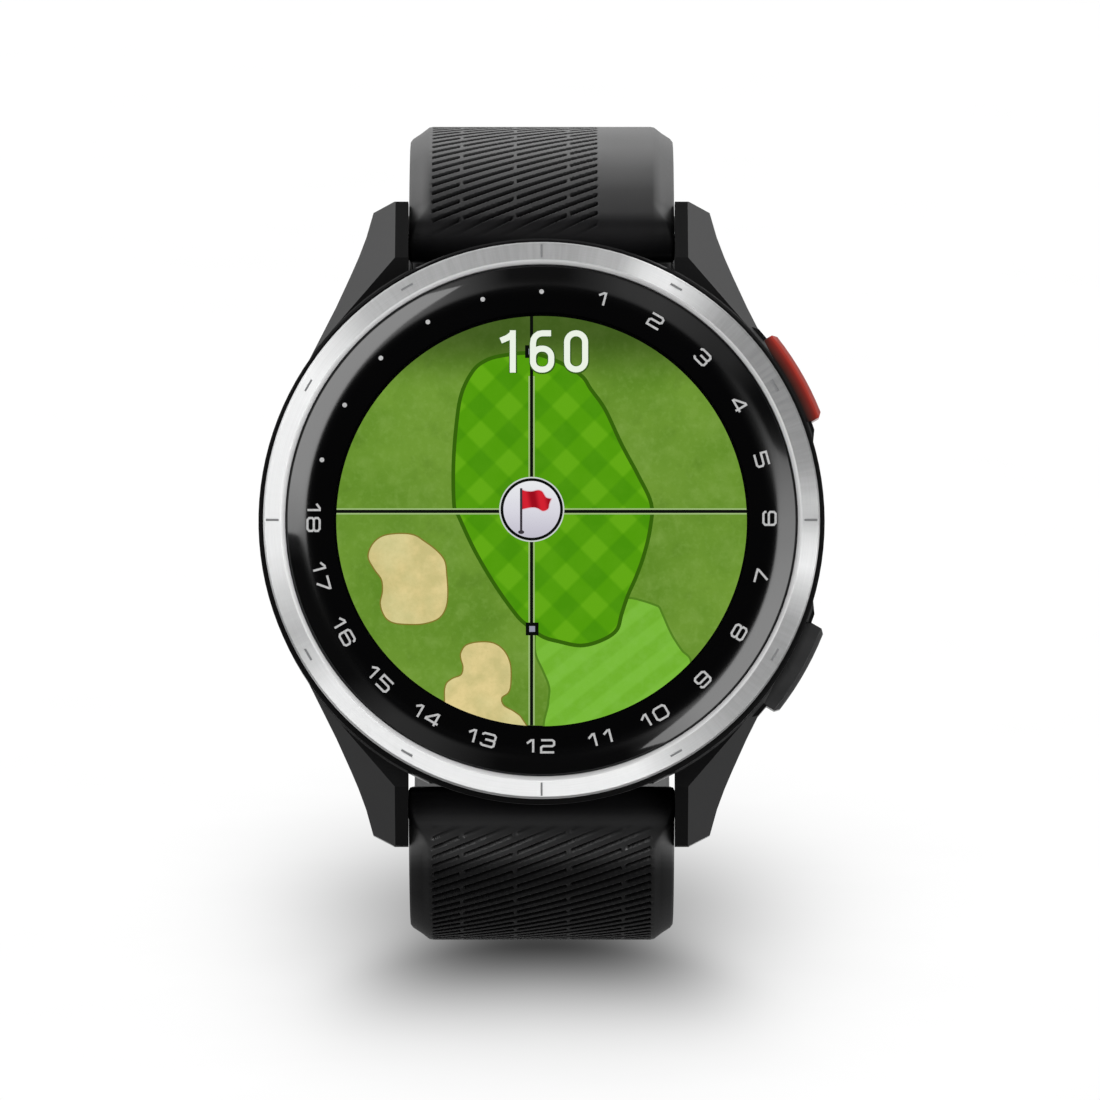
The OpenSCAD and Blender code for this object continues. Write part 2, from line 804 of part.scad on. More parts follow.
module buckle_frame() {
  side_r = 1.6;
  arm_l = buckle_l - 1.4;
  hole_end = 11.7;
  color([0.60, 0.61, 0.62])
  upright() at_bar() difference() {
    union() {
      // side arms
      for (side = [-1, 1])
        translate([0, 0, side > 0 ? side_out - side_t : -side_out]) union() {
          cylinder(r = side_r, h = side_t, $fn = 48);
          translate([-side_r, -arm_l, 0]) cube([2.6, arm_l, side_t]);
        }
      loop_end(1.3, side_out);
    }
    // blind holes for the bar
    translate([0, 0, -hole_end]) cylinder(r = bar_r + 0.05, h = 2 * hole_end, $fn = 48);
  }
}

module buckle_tang() {
  blade_w = tang_w - 0.6;
  blade_l = buckle_l - 1.8;
  color([0.66, 0.67, 0.68])
  upright() at_bar() difference() {
    union() {
      translate([0, 0, -tang_w / 2]) cylinder(r = 1.5, h = tang_w, $fn = 48);
      translate([0, -blade_l, -blade_w / 2]) cube([1.1, blade_l, blade_w]);
      // raised end over the loop
      translate([1.06, -buckle_l - 0.4, -blade_w / 2]) cube([1.0, 4.2, blade_w]);
    }
    translate([0, 0, -5]) cylinder(r = bar_r + 0.05, h = 10, $fn = 48);
    // room for the loop end
    loop_end(1.36, 5);
  }
}

// ---------------------------------------------------------------- output

case_housing();
bezel();
lens();
lens_gasket();
display_panel();
display_flex();
inner_frame();
frame_screws();
main_board();
shield_can();
board_chips();
gps_antenna();
battery();
battery_lead();
vibration_motor();
rear_cover();
rear_gasket();
rear_screws();
charge_port();
charge_contacts();
start_switch();
back_switch();
start_button_cap();
start_button_stem();
start_button_seal();
start_button_clip();
start_button_spring();
back_button_cap();
back_button_stem();
back_button_seal();
back_button_clip();
back_button_spring();
strap_upper();
spring_bar_tube_upper();
spring_bar_tip_upper();
spring_bar_spring_upper();
release_pin_upper();
fixed_keeper();
sliding_keeper();
buckle_bar();
buckle_frame();
buckle_tang();
strap_lower();
spring_bar_tube_lower();
spring_bar_tip_lower();
spring_bar_spring_lower();
release_pin_lower();
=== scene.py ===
# Golf GPS watch with both straps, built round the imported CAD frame.
# Lengths are in millimetres unless noted, and MM turns them into metres.
# The dial faces -Y: u runs across (+X), v towards twelve o'clock (+Z) and
# h towards the viewer (-Y).
import math
import bpy
import bmesh
import numpy as np
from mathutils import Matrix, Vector
from mathutils.geometry import tessellate_polygon


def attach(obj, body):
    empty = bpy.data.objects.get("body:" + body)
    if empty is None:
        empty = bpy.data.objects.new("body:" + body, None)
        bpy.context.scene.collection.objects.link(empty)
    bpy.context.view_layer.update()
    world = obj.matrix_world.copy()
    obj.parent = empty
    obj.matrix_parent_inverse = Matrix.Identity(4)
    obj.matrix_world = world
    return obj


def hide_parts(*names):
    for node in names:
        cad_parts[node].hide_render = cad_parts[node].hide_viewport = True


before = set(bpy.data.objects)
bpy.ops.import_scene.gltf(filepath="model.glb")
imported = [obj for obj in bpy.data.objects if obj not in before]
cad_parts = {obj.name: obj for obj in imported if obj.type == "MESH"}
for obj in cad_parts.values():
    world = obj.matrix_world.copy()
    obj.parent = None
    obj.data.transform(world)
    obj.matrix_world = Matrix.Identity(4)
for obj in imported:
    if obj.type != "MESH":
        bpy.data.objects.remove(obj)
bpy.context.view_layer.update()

MM = 0.001
TURN = 2 * math.pi
GLASS_TOP = 12.4
rad = math.radians


def place(u, v, h):
    """Watch coordinates in mm to a point in metres."""
    return (u * MM, -h * MM, v * MM)


# ------------------------------------------------------------------ shader help

def operator(kind):
    """A method that feeds a wire, and any other value, to a Math node."""
    return lambda self, *other: self.shader.math(kind, self, *other)


class Wire:
    """A node's output.  Arithmetic on it makes Math nodes."""

    def __init__(self, shader, socket):
        self.shader = shader
        self.socket = socket

    __add__ = operator("ADD")
    __sub__ = operator("SUBTRACT")
    __mul__ = operator("MULTIPLY")
    __truediv__ = operator("DIVIDE")
    __pow__ = operator("POWER")
    __abs__ = operator("ABSOLUTE")
    __gt__ = operator("GREATER_THAN")
    __lt__ = operator("LESS_THAN")
    maximum = operator("MAXIMUM")
    sqrt = operator("SQRT")
    sign = operator("SIGN")
    fract = operator("FRACT")
    sine = operator("SINE")
    cosine = operator("COSINE")
    arctan2 = operator("ARCTAN2")
    exponent = operator("EXPONENT")

    def __rsub__(self, other):
        return self.shader.math("SUBTRACT", other, self)


class Shader:
    """The node tree of a new material or world."""

    def __init__(self, name, world=False):
        self.owner = (bpy.data.worlds if world else bpy.data.materials).new(name)
        self.owner.use_nodes = True
        self.tree = self.owner.node_tree
        self.tree.nodes.clear()
        output = "ShaderNodeOutputWorld" if world else "ShaderNodeOutputMaterial"
        self.output = self.tree.nodes.new(output)
        self.coordinates = "Generated" if world else "Object"
        self._position = None

    def put(self, socket, value):
        if isinstance(value, Wire):
            self.tree.links.new(value.socket, socket)
        elif isinstance(value, tuple) and len(value) == 3 and socket.type == "RGBA":
            socket.default_value = (*value, 1)
        else:
            socket.default_value = value

    def node(self, kind, inputs=None, out=0, **settings):
        """Adds a node, sets it up and returns one of its outputs."""
        node = self.tree.nodes.new("ShaderNode" + kind)
        for key, value in settings.items():
            setattr(node, key, value)
        for key, value in (inputs or {}).items():
            self.put(node.inputs[key], value)
        return Wire(self, node.outputs[out])

    def position(self):
        if self._position is None:
            self._position = self.node("TexCoord", out=self.coordinates)
        return self._position

    def math(self, kind, *values):
        return self.node("Math", dict(enumerate(values)), operation=kind)

    def xyz(self, vector=None):
        first = self.node("SeparateXYZ", {0: vector or self.position()})
        return [Wire(self, socket) for socket in first.socket.node.outputs]

    def combine(self, *values):
        return self.node("CombineXYZ", dict(enumerate(values)))

    def radius(self, x, z):
        return (x * x + z * z).sqrt()

    def turn(self, angle):
        """Angle from three o'clock as a share of a full turn."""
        return (angle / TURN + 1.0).fract()

    def scaled(self, scale):
        return self.node("VectorMath", {0: self.position(), 1: scale}, operation="MULTIPLY")

    def noise(self, scale, detail=3, rough=0.55, vector=None):
        return self.node("TexNoise", {"Vector": vector or self.position(), "Scale": scale,
                                      "Detail": detail, "Roughness": rough}, out="Fac")

    def ramp(self, factor, stops):
        """Colour ramp; a stop is (position, grey or colour)."""
        ramp = self.node("ValToRGB", {0: factor})
        elements = ramp.socket.node.color_ramp.elements
        while len(elements) > 1:
            elements.remove(elements[-1])
        for i, (position, colour) in enumerate(stops):
            element = elements[0] if i == 0 else elements.new(position)
            element.position = position
            element.color = (*colour, 1) if isinstance(colour, tuple) else (*[colour] * 3, 1)
        return ramp

    def curve(self, length, stops, low, high):
        """Ramp over a length, with its range and stops in mm."""
        return self.ramp(self.remap(length, span=(low * MM, high * MM)),
                         [((at - low) / (high - low), colour) for at, colour in stops])

    def remap(self, value, span=(0, 1), to=(0, 1), kind="LINEAR"):
        return self.node("MapRange", dict(enumerate((value, *span, *to))),
                         interpolation_type=kind)

    def mix(self, factor, first, second, blend="MIX"):
        return self.node("Mix", {0: factor, 6: first, 7: second}, out=2,
                         data_type="RGBA", blend_type=blend)

    def vary(self, factor, colour, low, high):
        """The colour, scaled between low and high by the factor."""
        return self.mix(factor, tuple(c * low for c in colour), tuple(c * high for c in colour))

    def mix_shader(self, factor, first, second):
        return self.node("MixShader", {0: factor, 1: first, 2: second})

    def bump(self, height, distance, strength):
        return self.node("Bump", {"Strength": strength, "Distance": distance, "Height": height})

    def principled(self, **inputs):
        return self.node("BsdfPrincipled",
                         {key.replace("_", " "): value for key, value in inputs.items()})

    def finish(self, surface):
        self.put(self.output.inputs[0], surface)
        return self.owner

    def surface(self, **inputs):
        return self.finish(self.principled(**inputs))

    def glow(self, colour, strength=1.05):
        """Artwork with light of its own, so that it keeps its colour."""
        return self.finish(self.node("Emission", {"Color": colour, "Strength": strength}))


def srgb(*levels):
    """8-bit display colour to linear."""
    out = []
    for level in levels:
        level = level / 255.0
        out.append(level / 12.92 if level <= 0.04045 else ((level + 0.055) / 1.055) ** 2.4)
    return tuple(out)


# ------------------------------------------------------------------ materials

MOULDED_BLACK = (0.0045, 0.0045, 0.0048)


def mat_polymer(name, colour, rough=0.42, grain=9000.0):
    """Glass filled polymer with a fine moulded grain."""
    shader = Shader(name)
    fine = shader.noise(scale=grain, detail=4, rough=0.6)
    broad = shader.noise(scale=220, detail=2)
    return shader.surface(
        Base_Color=shader.vary(broad, colour, low=0.85, high=1.15),
        Roughness=shader.remap(broad, span=(0.3, 0.7), to=(rough - 0.04, rough + 0.05)),
        Normal=shader.bump(fine, distance=0.000012, strength=0.5))


def mat_case():
    """The moulded case: satin on the outward facets. The faces turned inward and
    the narrow step round the ring carry painted shade: darker, drier and less specular."""
    ring_radius, lug_reach, step_height = 21.95 * MM, 19.5 * MM, 9.8 * MM
    rough = 0.38
    shader = Shader("case_polymer")
    fine = shader.noise(scale=9000, detail=4, rough=0.6)
    broad = shader.noise(scale=220, detail=2)
    x, y, z = shader.xyz()
    normal_x = shader.xyz(shader.node("NewGeometry", out="Normal"))[0]
    outward = x.sign() * normal_x
    beyond = (shader.radius(x, z) > ring_radius).maximum(abs(z) > lug_reach)
    inward = shader.remap(outward, span=(0.25, 0.4), to=(1, 0)) * beyond
    step = (1.0 - beyond) * (y < -step_height)
    # mask of painted shade: the inward faces and the step round the ring
    painted_shade = inward.maximum(step)
    colour = shader.vary(broad, MOULDED_BLACK, low=0.85, high=1.15)
    satin = shader.remap(broad, span=(0.3, 0.7), to=(rough - 0.04, rough + 0.05))
    dull_rough = 0.85
    # painted shade under the mask: darker colour, more roughness, less specular
    return shader.surface(
        Base_Color=shader.mix(painted_shade, colour, tuple(c * 0.35 for c in MOULDED_BLACK)),
        Roughness=satin.maximum(painted_shade * dull_rough),
        Specular_IOR_Level=shader.remap(painted_shade, to=(0.5, 0.12)),
        Normal=shader.bump(fine, distance=0.000012, strength=0.5))


# Painted highlight: strap sheen by place down the strap, (z in mm, sheen),
# first along the middle of the strap and then along its edges.
LOWER_PAINTED_SHEEN = (
    [(-32.2, 0.06), (-30.5, 0.08), (-29.4, 0.13), (-28.3, 0.18), (-27.2, 0.25), (-26.6, 0.5),
     (-26.1, 1.3), (-25.6, 2.9), (-25.1, 3.3), (-24.5, 2.8), (-23.9, 2.2), (-23.4, 1.4),
     (-22.9, 0.6), (-22.4, 0.2), (-21.8, 0.05)],
    [(-32.2, 0.05), (-28.3, 0.06), (-27.2, 0.09), (-26.6, 0.14), (-26.1, 0.34), (-25.6, 0.95),
     (-25.1, 2.4), (-24.6, 3.9), (-24.1, 3.0), (-23.4, 1.6), (-22.9, 0.6), (-22.4, 0.2),
     (-21.8, 0.05)])
UPPER_PAINTED_SHEEN = (
    [(21.4, 0.08), (22.0, 0.15), (22.8, 0.23), (23.4, 0.16), (23.8, 0.14), (24.2, 0.28),
     (26.0, 0.33), (26.9, 0.50), (27.9, 0.66), (28.8, 0.95), (29.8, 1.3)],
    [(21.4, 0.2), (22.8, 0.36), (23.3, 0.22), (23.8, 0.42), (24.3, 1.0), (25.2, 1.5),
     (27.0, 1.55), (28.5, 1.35), (29.8, 1.3)])


def mat_strap(name, sheen, low, high):
    """Strap silicone.  A painted highlight: its specular strength is set by place
    down the strap, and the moulded grooves get painted shade, almost black and dry."""
    sheen_unit = 4          # ramps hold sheen / 4, as colours stop at one
    sheen_level = 0.35      # specular level for a sheen of one
    far_sheen = 1.0 / sheen_unit
    shader = Shader(name)
    fine = shader.noise(scale=14000, detail=3, rough=0.6)
    middling = shader.noise(scale=900, detail=3, rough=0.5)
    broad = shader.noise(scale=60, detail=2)
    x, y, z = shader.xyz()
    groove = shader.node("Attribute", out="Fac", attribute_name="groove")
    # painted highlight: specular strength by height, along the middle and along the edges
    middle, edge = [shader.curve(z, [(at, value / sheen_unit) for at, value in table], low, high)
                    for table in sheen]
    shine = shader.mix(shader.remap(abs(x), span=(0.0086, 0.0093)), middle, edge)
    shine = shader.mix(shader.remap(y, span=(0.0135, 0.0185)), shine, (far_sheen,) * 3)
    # painted shade in the grooves: most of the sheen and the colour taken away
    groove_loss, groove_painted_shade = 0.92, 0.85      # shares of shine and colour lost
    shine = shine * (sheen_unit * sheen_level) * (1.0 - groove * groove_loss)
    colour = shader.vary(middling, MOULDED_BLACK, low=0.8, high=1.2)
    return shader.surface(
        Base_Color=shader.mix(groove * groove_painted_shade, colour, (0.0003, 0.0003, 0.0003)),
        Roughness=shader.remap(broad, span=(0.3, 0.7), to=(0.51, 0.60)),
        Specular_IOR_Level=shine,
        Normal=shader.bump(fine, distance=0.00001, strength=0.35))


def mat_cap(name, stops, rough, spec=0.5):
    """Button cap toned by distance from the middle of the watch: dark next to the
    case, then painted shading across the cap; a stop is (radius in mm, colour)."""
    shader = Shader(name)
    x, _, z = shader.xyz()
    radius = shader.radius(x, z)
    noise = shader.noise(scale=700, detail=3)
    # colour by radius: dark next to the case, then painted shading across the cap
    colour = shader.curve(radius, stops, low=21.2, high=23.6)
    dust = shader.remap(noise, span=(0.3, 0.7), to=(0.0, 0.10))
    return shader.surface(
        Base_Color=shader.mix(dust, colour, (0.0, 0.0, 0.0)),
        Roughness=shader.remap(noise, span=(0.3, 0.7), to=(rough - 0.03, rough + 0.04)),
        Specular_IOR_Level=shader.remap(radius, span=(0.0217, 0.0223), to=(0.10, spec)),
        Coat_Weight=0.1, Coat_Roughness=0.25,
        Normal=shader.bump(noise, distance=0.000006, strength=0.3))


def mat_silicone(name, colour, rough=0.55, spec=0.35):
    """Moulded silicone: very fine stipple, soft sheen."""
    shader = Shader(name)
    fine = shader.noise(scale=14000, detail=3, rough=0.6)
    middling = shader.noise(scale=900, detail=3, rough=0.5)
    broad = shader.noise(scale=60, detail=2)
    return shader.surface(
        Base_Color=shader.vary(middling, colour, low=0.8, high=1.2),
        Roughness=shader.remap(broad, span=(0.3, 0.7), to=(rough - 0.04, rough + 0.05)),
        Specular_IOR_Level=spec,
        Sheen_Weight=0.02 if spec else 0.0, Sheen_Roughness=0.4,
        Normal=shader.bump(fine, distance=0.00001, strength=0.35))


def mat_metal(name, colour, rough=0.28, stretch=(1, 1, 1), scale=3000, depth=0.000004):
    """Satin metal with fine scratches."""
    shader = Shader(name)
    scratches = shader.noise(scale=scale, detail=4, rough=0.6, vector=shader.scaled(stretch))
    broad = shader.noise(scale=140, detail=2)
    return shader.surface(
        Base_Color=shader.vary(broad, colour, low=0.92, high=1.06),
        Metallic=1.0,
        Roughness=shader.remap(scratches, span=(0.2, 0.8), to=(rough - 0.07, rough + 0.1)),
        Normal=shader.bump(scratches, distance=depth, strength=0.5))


def mat_board(name):
    """Green circuit board with thin gold lines."""
    shader = Shader(name)
    bricks = shader.node("TexBrick", {
        "Vector": shader.scaled((1, 1, 1)), "Scale": 700, "Mortar Size": 0.03,
        "Color1": (0.01, 0.10, 0.04), "Color2": (0.015, 0.13, 0.05), "Mortar": (0.25, 0.2, 0.05)})
    noise = shader.noise(scale=2500, detail=3)
    patches = shader.remap(noise, span=(0.3, 0.7), to=(0, 0.35))
    return shader.surface(
        Base_Color=shader.mix(patches, bricks, (0.02, 0.15, 0.06)), Roughness=0.35,
        Normal=shader.bump(noise, distance=0.00001, strength=0.4))


def mat_paint(name, colour, rough):
    """Painted surface with fine texture."""
    shader = Shader(name)
    fine = shader.noise(scale=8000, detail=3)
    broad = shader.noise(scale=300, detail=2)
    return shader.surface(
        Base_Color=shader.vary(broad, colour, low=0.9, high=1.08),
        Roughness=shader.remap(fine, span=(0.3, 0.7), to=(rough - 0.05, rough + 0.06)),
        Coat_Weight=0.15, Coat_Roughness=0.25,
        Normal=shader.bump(fine, distance=0.000006, strength=0.4))


# Painted highlights of the brushed ring: (degrees from three o'clock, 8-bit grey).
BEZEL_PAINTED_LIGHT = (
    (0, 188), (4, 194), (12, 150), (26, 135), (40, 137), (48, 154), (55, 200), (62, 234),
    (67, 228), (73, 178), (84, 161), (100, 158), (120, 170), (130, 184), (139, 224), (147, 243),
    (175, 239), (187, 236), (198, 200), (205, 184), (211, 202), (219, 236), (291, 240),
    (301, 198), (314, 163), (328, 149), (338, 158), (344, 198), (350, 240), (356, 222), (360, 188))
# Painted highlights of the ring's inner chamfer: (degrees, linear grey).
LIP_PAINTED_LIGHT = (
    (0, 0.52), (20, 0.74), (50, 1.0), (75, 1.0), (100, 0.80), (125, 0.52), (142, 0.43),
    (165, 0.42), (200, 0.64), (220, 0.80), (250, 0.88), (280, 0.61), (310, 0.44), (340, 0.39),
    (360, 0.52))


def bezel_stop(degrees, level):
    grey = srgb(level)[0] * 0.72
    return (degrees / 360.0, (grey * 0.995, grey, grey))


def mat_bezel(name):
    """Circular brushed aluminium.  The brushing runs round the ring; the highlights
    that fan out in sectors are painted highlights, carried by the ramp by angle."""
    shader = Shader(name)
    x, _, z = shader.xyz()
    radius = shader.radius(x, z)
    angle = z.arctan2(x)
    turn = shader.turn(angle)

    def rings(across, along):
        """Noise space, fine across the radius and slow along the ring."""
        return shader.combine(radius * across, angle.cosine() * along, angle.sine() * along)

    lines = shader.noise(scale=1.0, detail=5, rough=0.7, vector=rings(across=26000, along=3.0))
    radial = shader.noise(scale=1.0, detail=3, rough=0.6, vector=rings(across=300, along=60.0))
    # painted highlights: base colour by angle, for the flat face and the inner chamfer
    colour = shader.ramp(turn, [bezel_stop(*tone) for tone in BEZEL_PAINTED_LIGHT])
    lip = shader.ramp(turn, [(degrees / 360.0, grey) for degrees, grey in LIP_PAINTED_LIGHT])
    colour = shader.mix(shader.remap(radius, span=(0.02000, 0.02008)), lip, colour)
    colour = shader.mix(shader.remap(lines, span=(0.3, 0.7), to=(0.0, 0.14)), colour,
                        (0.16, 0.162, 0.165))
    colour = shader.mix(shader.remap(radial, span=(0.35, 0.65), to=(0.0, 0.05)), colour,
                        (0.75, 0.76, 0.77))
    return shader.surface(
        Base_Color=colour, Metallic=1.0,
        Roughness=shader.remap(lines, span=(0.25, 0.75), to=(0.53, 0.62)),
        Normal=shader.bump(lines, distance=0.000004, strength=0.35))


# Black print by share of a turn from three o'clock: roughness factor, and
# specular level, which paints the ring's reflection stronger or weaker by angle.
INK_DULLNESS = [(0.0, 1.0), (0.045, 1.9), (0.09, 1.9), (0.13, 1.0), (1.0, 1.0)]
INK_PAINTED_SHINE = [(0.0, 0.36), (0.035, 0.27), (0.06, 0.20), (0.085, 0.16), (0.125, 0.22),
             (0.17, 0.42), (0.94, 0.42), (1.0, 0.36)]
# Black print: (radius in mm, roughness).
INK_ROUGHNESS = [(17.1, 0.03), (17.8, 0.14), (18.2, 0.14), (18.8, 0.05)]


def mat_glass(name):
    """Thin clear glass, a Fresnel mirror over a clear sheet, with black
    print behind its outer ring."""
    clear_radius = 15.98 * MM
    shader = Shader(name)
    noise = shader.noise(scale=160, detail=2)
    fresnel = shader.node("Fresnel", {"IOR": 1.5})
    mirror = shader.node("BsdfGlossy", {
        "Roughness": shader.remap(noise, span=(0.3, 0.7), to=(0.015, 0.04))})
    clear = shader.node("BsdfTransparent", {"Color": (0.97, 0.985, 0.98)})
    front = 1.0 - shader.node("NewGeometry", out="Backfacing")
    glass = shader.mix_shader(fresnel * front, clear, mirror)
    x, _, z = shader.xyz()
    radius = shader.radius(x, z)
    turn = shader.turn(z.arctan2(x))
    ink = shader.principled(
        Base_Color=shader.mix(noise, (0.0010, 0.0010, 0.0011), (0.0014, 0.0014, 0.0015)),
        IOR=1.5,
        Specular_IOR_Level=shader.ramp(turn, INK_PAINTED_SHINE),
        Roughness=(shader.ramp(turn, INK_DULLNESS)
                   * shader.curve(radius, INK_ROUGHNESS, low=17, high=19)))
    return shader.finish(shader.mix_shader(radius > clear_radius, glass, ink))


def flat_glow(name, levels, wobble=0.06):
    """Screen colour from 8-bit levels, varied a little either way."""
    shader = Shader(name)
    noise = shader.noise(scale=1500, detail=2)
    return shader.glow(shader.vary(noise, srgb(*levels), low=1 - wobble, high=1 + wobble))


# ------------------------------------------------------------------ mesh help

def tube_faces(rings, count, closed):
    """Quads over rings of count points; closed joins the last to the first."""
    faces = []
    for i in range(rings if closed else rings - 1):
        j = (i + 1) % rings
        for k in range(count):
            n = (k + 1) % count
            faces.append((i * count + k, i * count + n, j * count + n, j * count + k))
    return faces


def new_mesh(name, verts, faces, validate=True):
    """Linked object with its normals turned outwards."""
    mesh = bpy.data.meshes.new(name)
    mesh.from_pydata([tuple(v) for v in verts], [], faces)
    if validate:
        mesh.validate()
    work = bmesh.new()
    work.from_mesh(mesh)
    bmesh.ops.recalc_face_normals(work, faces=work.faces)
    work.to_mesh(mesh)
    work.free()
    obj = bpy.data.objects.new(name, mesh)
    bpy.context.scene.collection.objects.link(obj)
    return obj


def smooth(mesh, degrees):
    mesh.polygons.foreach_set("use_smooth", [True] * len(mesh.polygons))
    mesh.set_sharp_from_angle(angle=rad(degrees))


def mesh_object(name, verts, faces, body, material, slot, smooth_deg=None):
    obj = new_mesh(name, verts, faces)
    if smooth_deg is not None:
        smooth(obj.data, smooth_deg)
    obj.data.materials.append(material)
    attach(obj, body)
    return obj


def merged_object(name, parts, body, material, slot):
    """One object from several (verts, faces)."""
    verts, faces = [], []
    for part_verts, part_faces in parts:
        first = len(verts)
        verts += part_verts
        faces += [tuple(i + first for i in face) for face in part_faces]
    return mesh_object(name, verts, faces, body, material, slot)


def cut_away(obj, verts, faces):
    """Takes a closed shape, in metres, out of the object for good."""
    cutter = new_mesh("cutter", verts, faces, validate=False)
    modifier = obj.modifiers.new("cut", "BOOLEAN")
    modifier.operation = "DIFFERENCE"
    modifier.solver = "EXACT"
    modifier.object = cutter
    graph = bpy.context.evaluated_depsgraph_get()
    mesh = bpy.data.meshes.new_from_object(obj.evaluated_get(graph))
    old = obj.data
    obj.modifiers.clear()
    obj.data = mesh
    bpy.data.meshes.remove(old)
    bpy.data.objects.remove(cutter)


def disc(radius, u=0.0, v=0.0, sides=128):
    return [(u + radius * math.cos(TURN * i / sides), v + radius * math.sin(TURN * i / sides))
            for i in range(sides)]


def rectangle(half_a, half_b):
    return [(-half_a, -half_b), (half_a, -half_b), (half_a, half_b), (-half_a, half_b)]


def rounded_box(x0, x1, y0, y1, radius, steps, turn=1):
    """Outline with round corners: anticlockwise from the right-hand side, or
    with turn -1 clockwise from the top."""
    points = []
    for quarter in range(4):
        start = (0 if turn > 0 else 90) + turn * 90 * quarter
        middle = rad(start + turn * 45)
        x = x1 - radius if math.cos(middle) > 0 else x0 + radius
        y = y1 - radius if math.sin(middle) > 0 else y0 + radius
        for i in range(steps + 1):
            angle = rad(start + turn * 90 * i / steps)
            points.append((x + radius * math.cos(angle), y + radius * math.sin(angle)))
    return points


def prism(centre, axis, up, length, outline):
    """The outline, drawn in up and axis x up, run along the axis."""
    axis = Vector(axis).normalized()
    up = Vector(up).normalized()
    across = axis.cross(up)
    count = len(outline)
    verts = [(Vector(centre) + axis * (length * end) + up * a + across * b) * MM
             for end in (-0.5, 0.5) for a, b in outline]
    caps = [tuple(range(count)), tuple(range(2 * count - 1, count - 1, -1))]
    return verts, caps + tube_faces(2, count, False)


def turned(profile, sides):
    """Revolves a closed profile of (radius, h) about the case axis."""
    verts = []
    for i in range(sides):
        angle = TURN * i / sides
        verts += [place(r * math.cos(angle), r * math.sin(angle), h) for r, h in profile]
    return verts, tube_faces(sides, len(profile), True)


def catmull(points, closed=True, steps=6):
    """Smooth curve through the points."""
    count = len(points)
    out = []
    for i in range(count if closed else count - 1):
        p = [points[(i + k) % count] if closed else points[min(max(i + k, 0), count - 1)]
             for k in (-1, 0, 1, 2)]
        for step in range(steps):
            t = step / steps
            out.append(tuple(
                0.5 * ((2 * p[1][d]) + (-p[0][d] + p[2][d]) * t
                       + (2 * p[0][d] - 5 * p[1][d] + 4 * p[2][d] - p[3][d]) * t * t
                       + (-p[0][d] + 3 * p[1][d] - 3 * p[2][d] + p[3][d]) * t ** 3)
                for d in (0, 1)))
    if not closed:
        out.append(tuple(points[-1]))
    return out


def slab(outline, low, high):
    """Closed plate over a flat outline, between two heights."""
    count = len(outline)
    triangles = tessellate_polygon([[Vector((u, v, 0)) for u, v in outline]])
    verts = [place(u, v, h) for h in (high, low) for u, v in outline]
    faces = [tuple(t) for t in triangles]
    faces += [tuple(i + count for i in reversed(t)) for t in triangles]
    return verts, faces + tube_faces(2, count, False)


def ribbon(points, width, low, high, closed=False):
    """A stroke of constant width along the points, between two heights."""
    count = len(points)
    verts = []
    for i, (u, v) in enumerate(points):
        sides = []
        if closed or i > 0:
            u0, v0 = points[i - 1]
            step = Vector((u - u0, v - v0)).normalized()
            sides.append(Vector((-step.y, step.x)))
        if closed or i < count - 1:
            u0, v0 = points[(i + 1) % count]
            step = Vector((u0 - u, v0 - v)).normalized()
            sides.append(Vector((-step.y, step.x)))
        side, mitre = sides[0], 1.0
        if len(sides) == 2:
            side = sides[0] + sides[1]
            if side.length < 1e-6:
                side = sides[0].copy()
            side.normalize()
            mitre = 1.0 / max(0.5, side.dot(sides[0]))
        offset = side * (width / 2 * mitre)
        left = (u + offset.x, v + offset.y)
        right = (u - offset.x, v - offset.y)
        verts += [place(*left, high), place(*right, high), place(*right, low), place(*left, low)]
    faces = tube_faces(count, 4, closed)
    if not closed:
        end = (count - 1) * 4
        faces += [(0, 1, 2, 3), (end + 3, end + 2, end + 1, end)]
    return verts, faces


# ------------------------------------------------------------------ straps
# Each strap is drawn in (y, z) for the twelve o'clock side: a round nose at
# the spring bar, a first bend, then a wide main bend.

HALF_WIDTH = 10.28
THICK = 2.6
SPRING_BAR = np.array([-3.3, 22.3])
FIRST_CENTRE = np.array([15.17, 3.83])
FIRST_R = 28.17
UPPER_R, LOWER_R = 36.0, 75.0        # main bends
APEX = FIRST_CENTRE[1] + FIRST_R
NOSE_R = 2.05
NOSE_ALONG = np.array([math.sqrt(0.5), math.sqrt(0.5)])
NOSE_OUT = np.array([-math.sqrt(0.5), math.sqrt(0.5)])
FIRST_BEND = 45                      # degrees turned by the first bend
FLAT_UNTIL = 24.7                    # the inner face is straight above this angle
BUCKLE_ANGLE = rad(63.7)             # where the upper strap holds the buckle bar
LOWER_LENGTH = 80.0                  # along the lower main bend
EYE_R, EYE_HALF_WIDTH = 2.0, 9.85

GROOVE_DEPTH = 0.42
GROOVE_PITCH = 1.12
GROOVE_WIDTH, GROOVE_WALL = 0.39, 0.085
GROOVE_SLOPE = math.tan(rad(31))
GROOVE_BREAKS = (-6.2, -2.07, 2.09, 6.35)      # x of the gaps in every other groove

HOLE_COUNT, HOLE_PITCH, HOLE_R = 11, 5, 1.3
HOLES_REACH = 70                     # along the main bend to the last hole, plus one degree


def smooth01(x):
    x = min(1.0, max(0.0, x))
    return x * x * (3 - 2 * x)


def ray(angle):
    """Direction in (y, z), turned from +z towards +y."""
    return np.array([math.sin(angle), math.cos(angle)])


def main_bend(lower):
    radius = LOWER_R if lower else UPPER_R
    return np.array([FIRST_CENTRE[0], APEX - radius]), radius


def buckle_bar():
    """Bar centre, outward direction and direction down the strap."""
    centre, radius = main_bend(False)
    outward = ray(BUCKLE_ANGLE)
    down = np.array([outward[1], -outward[0]])
    return centre + (radius - THICK / 2) * outward, outward, down


def bevel_share(distance):
    return smooth01((distance + 2.0) / 4.2)


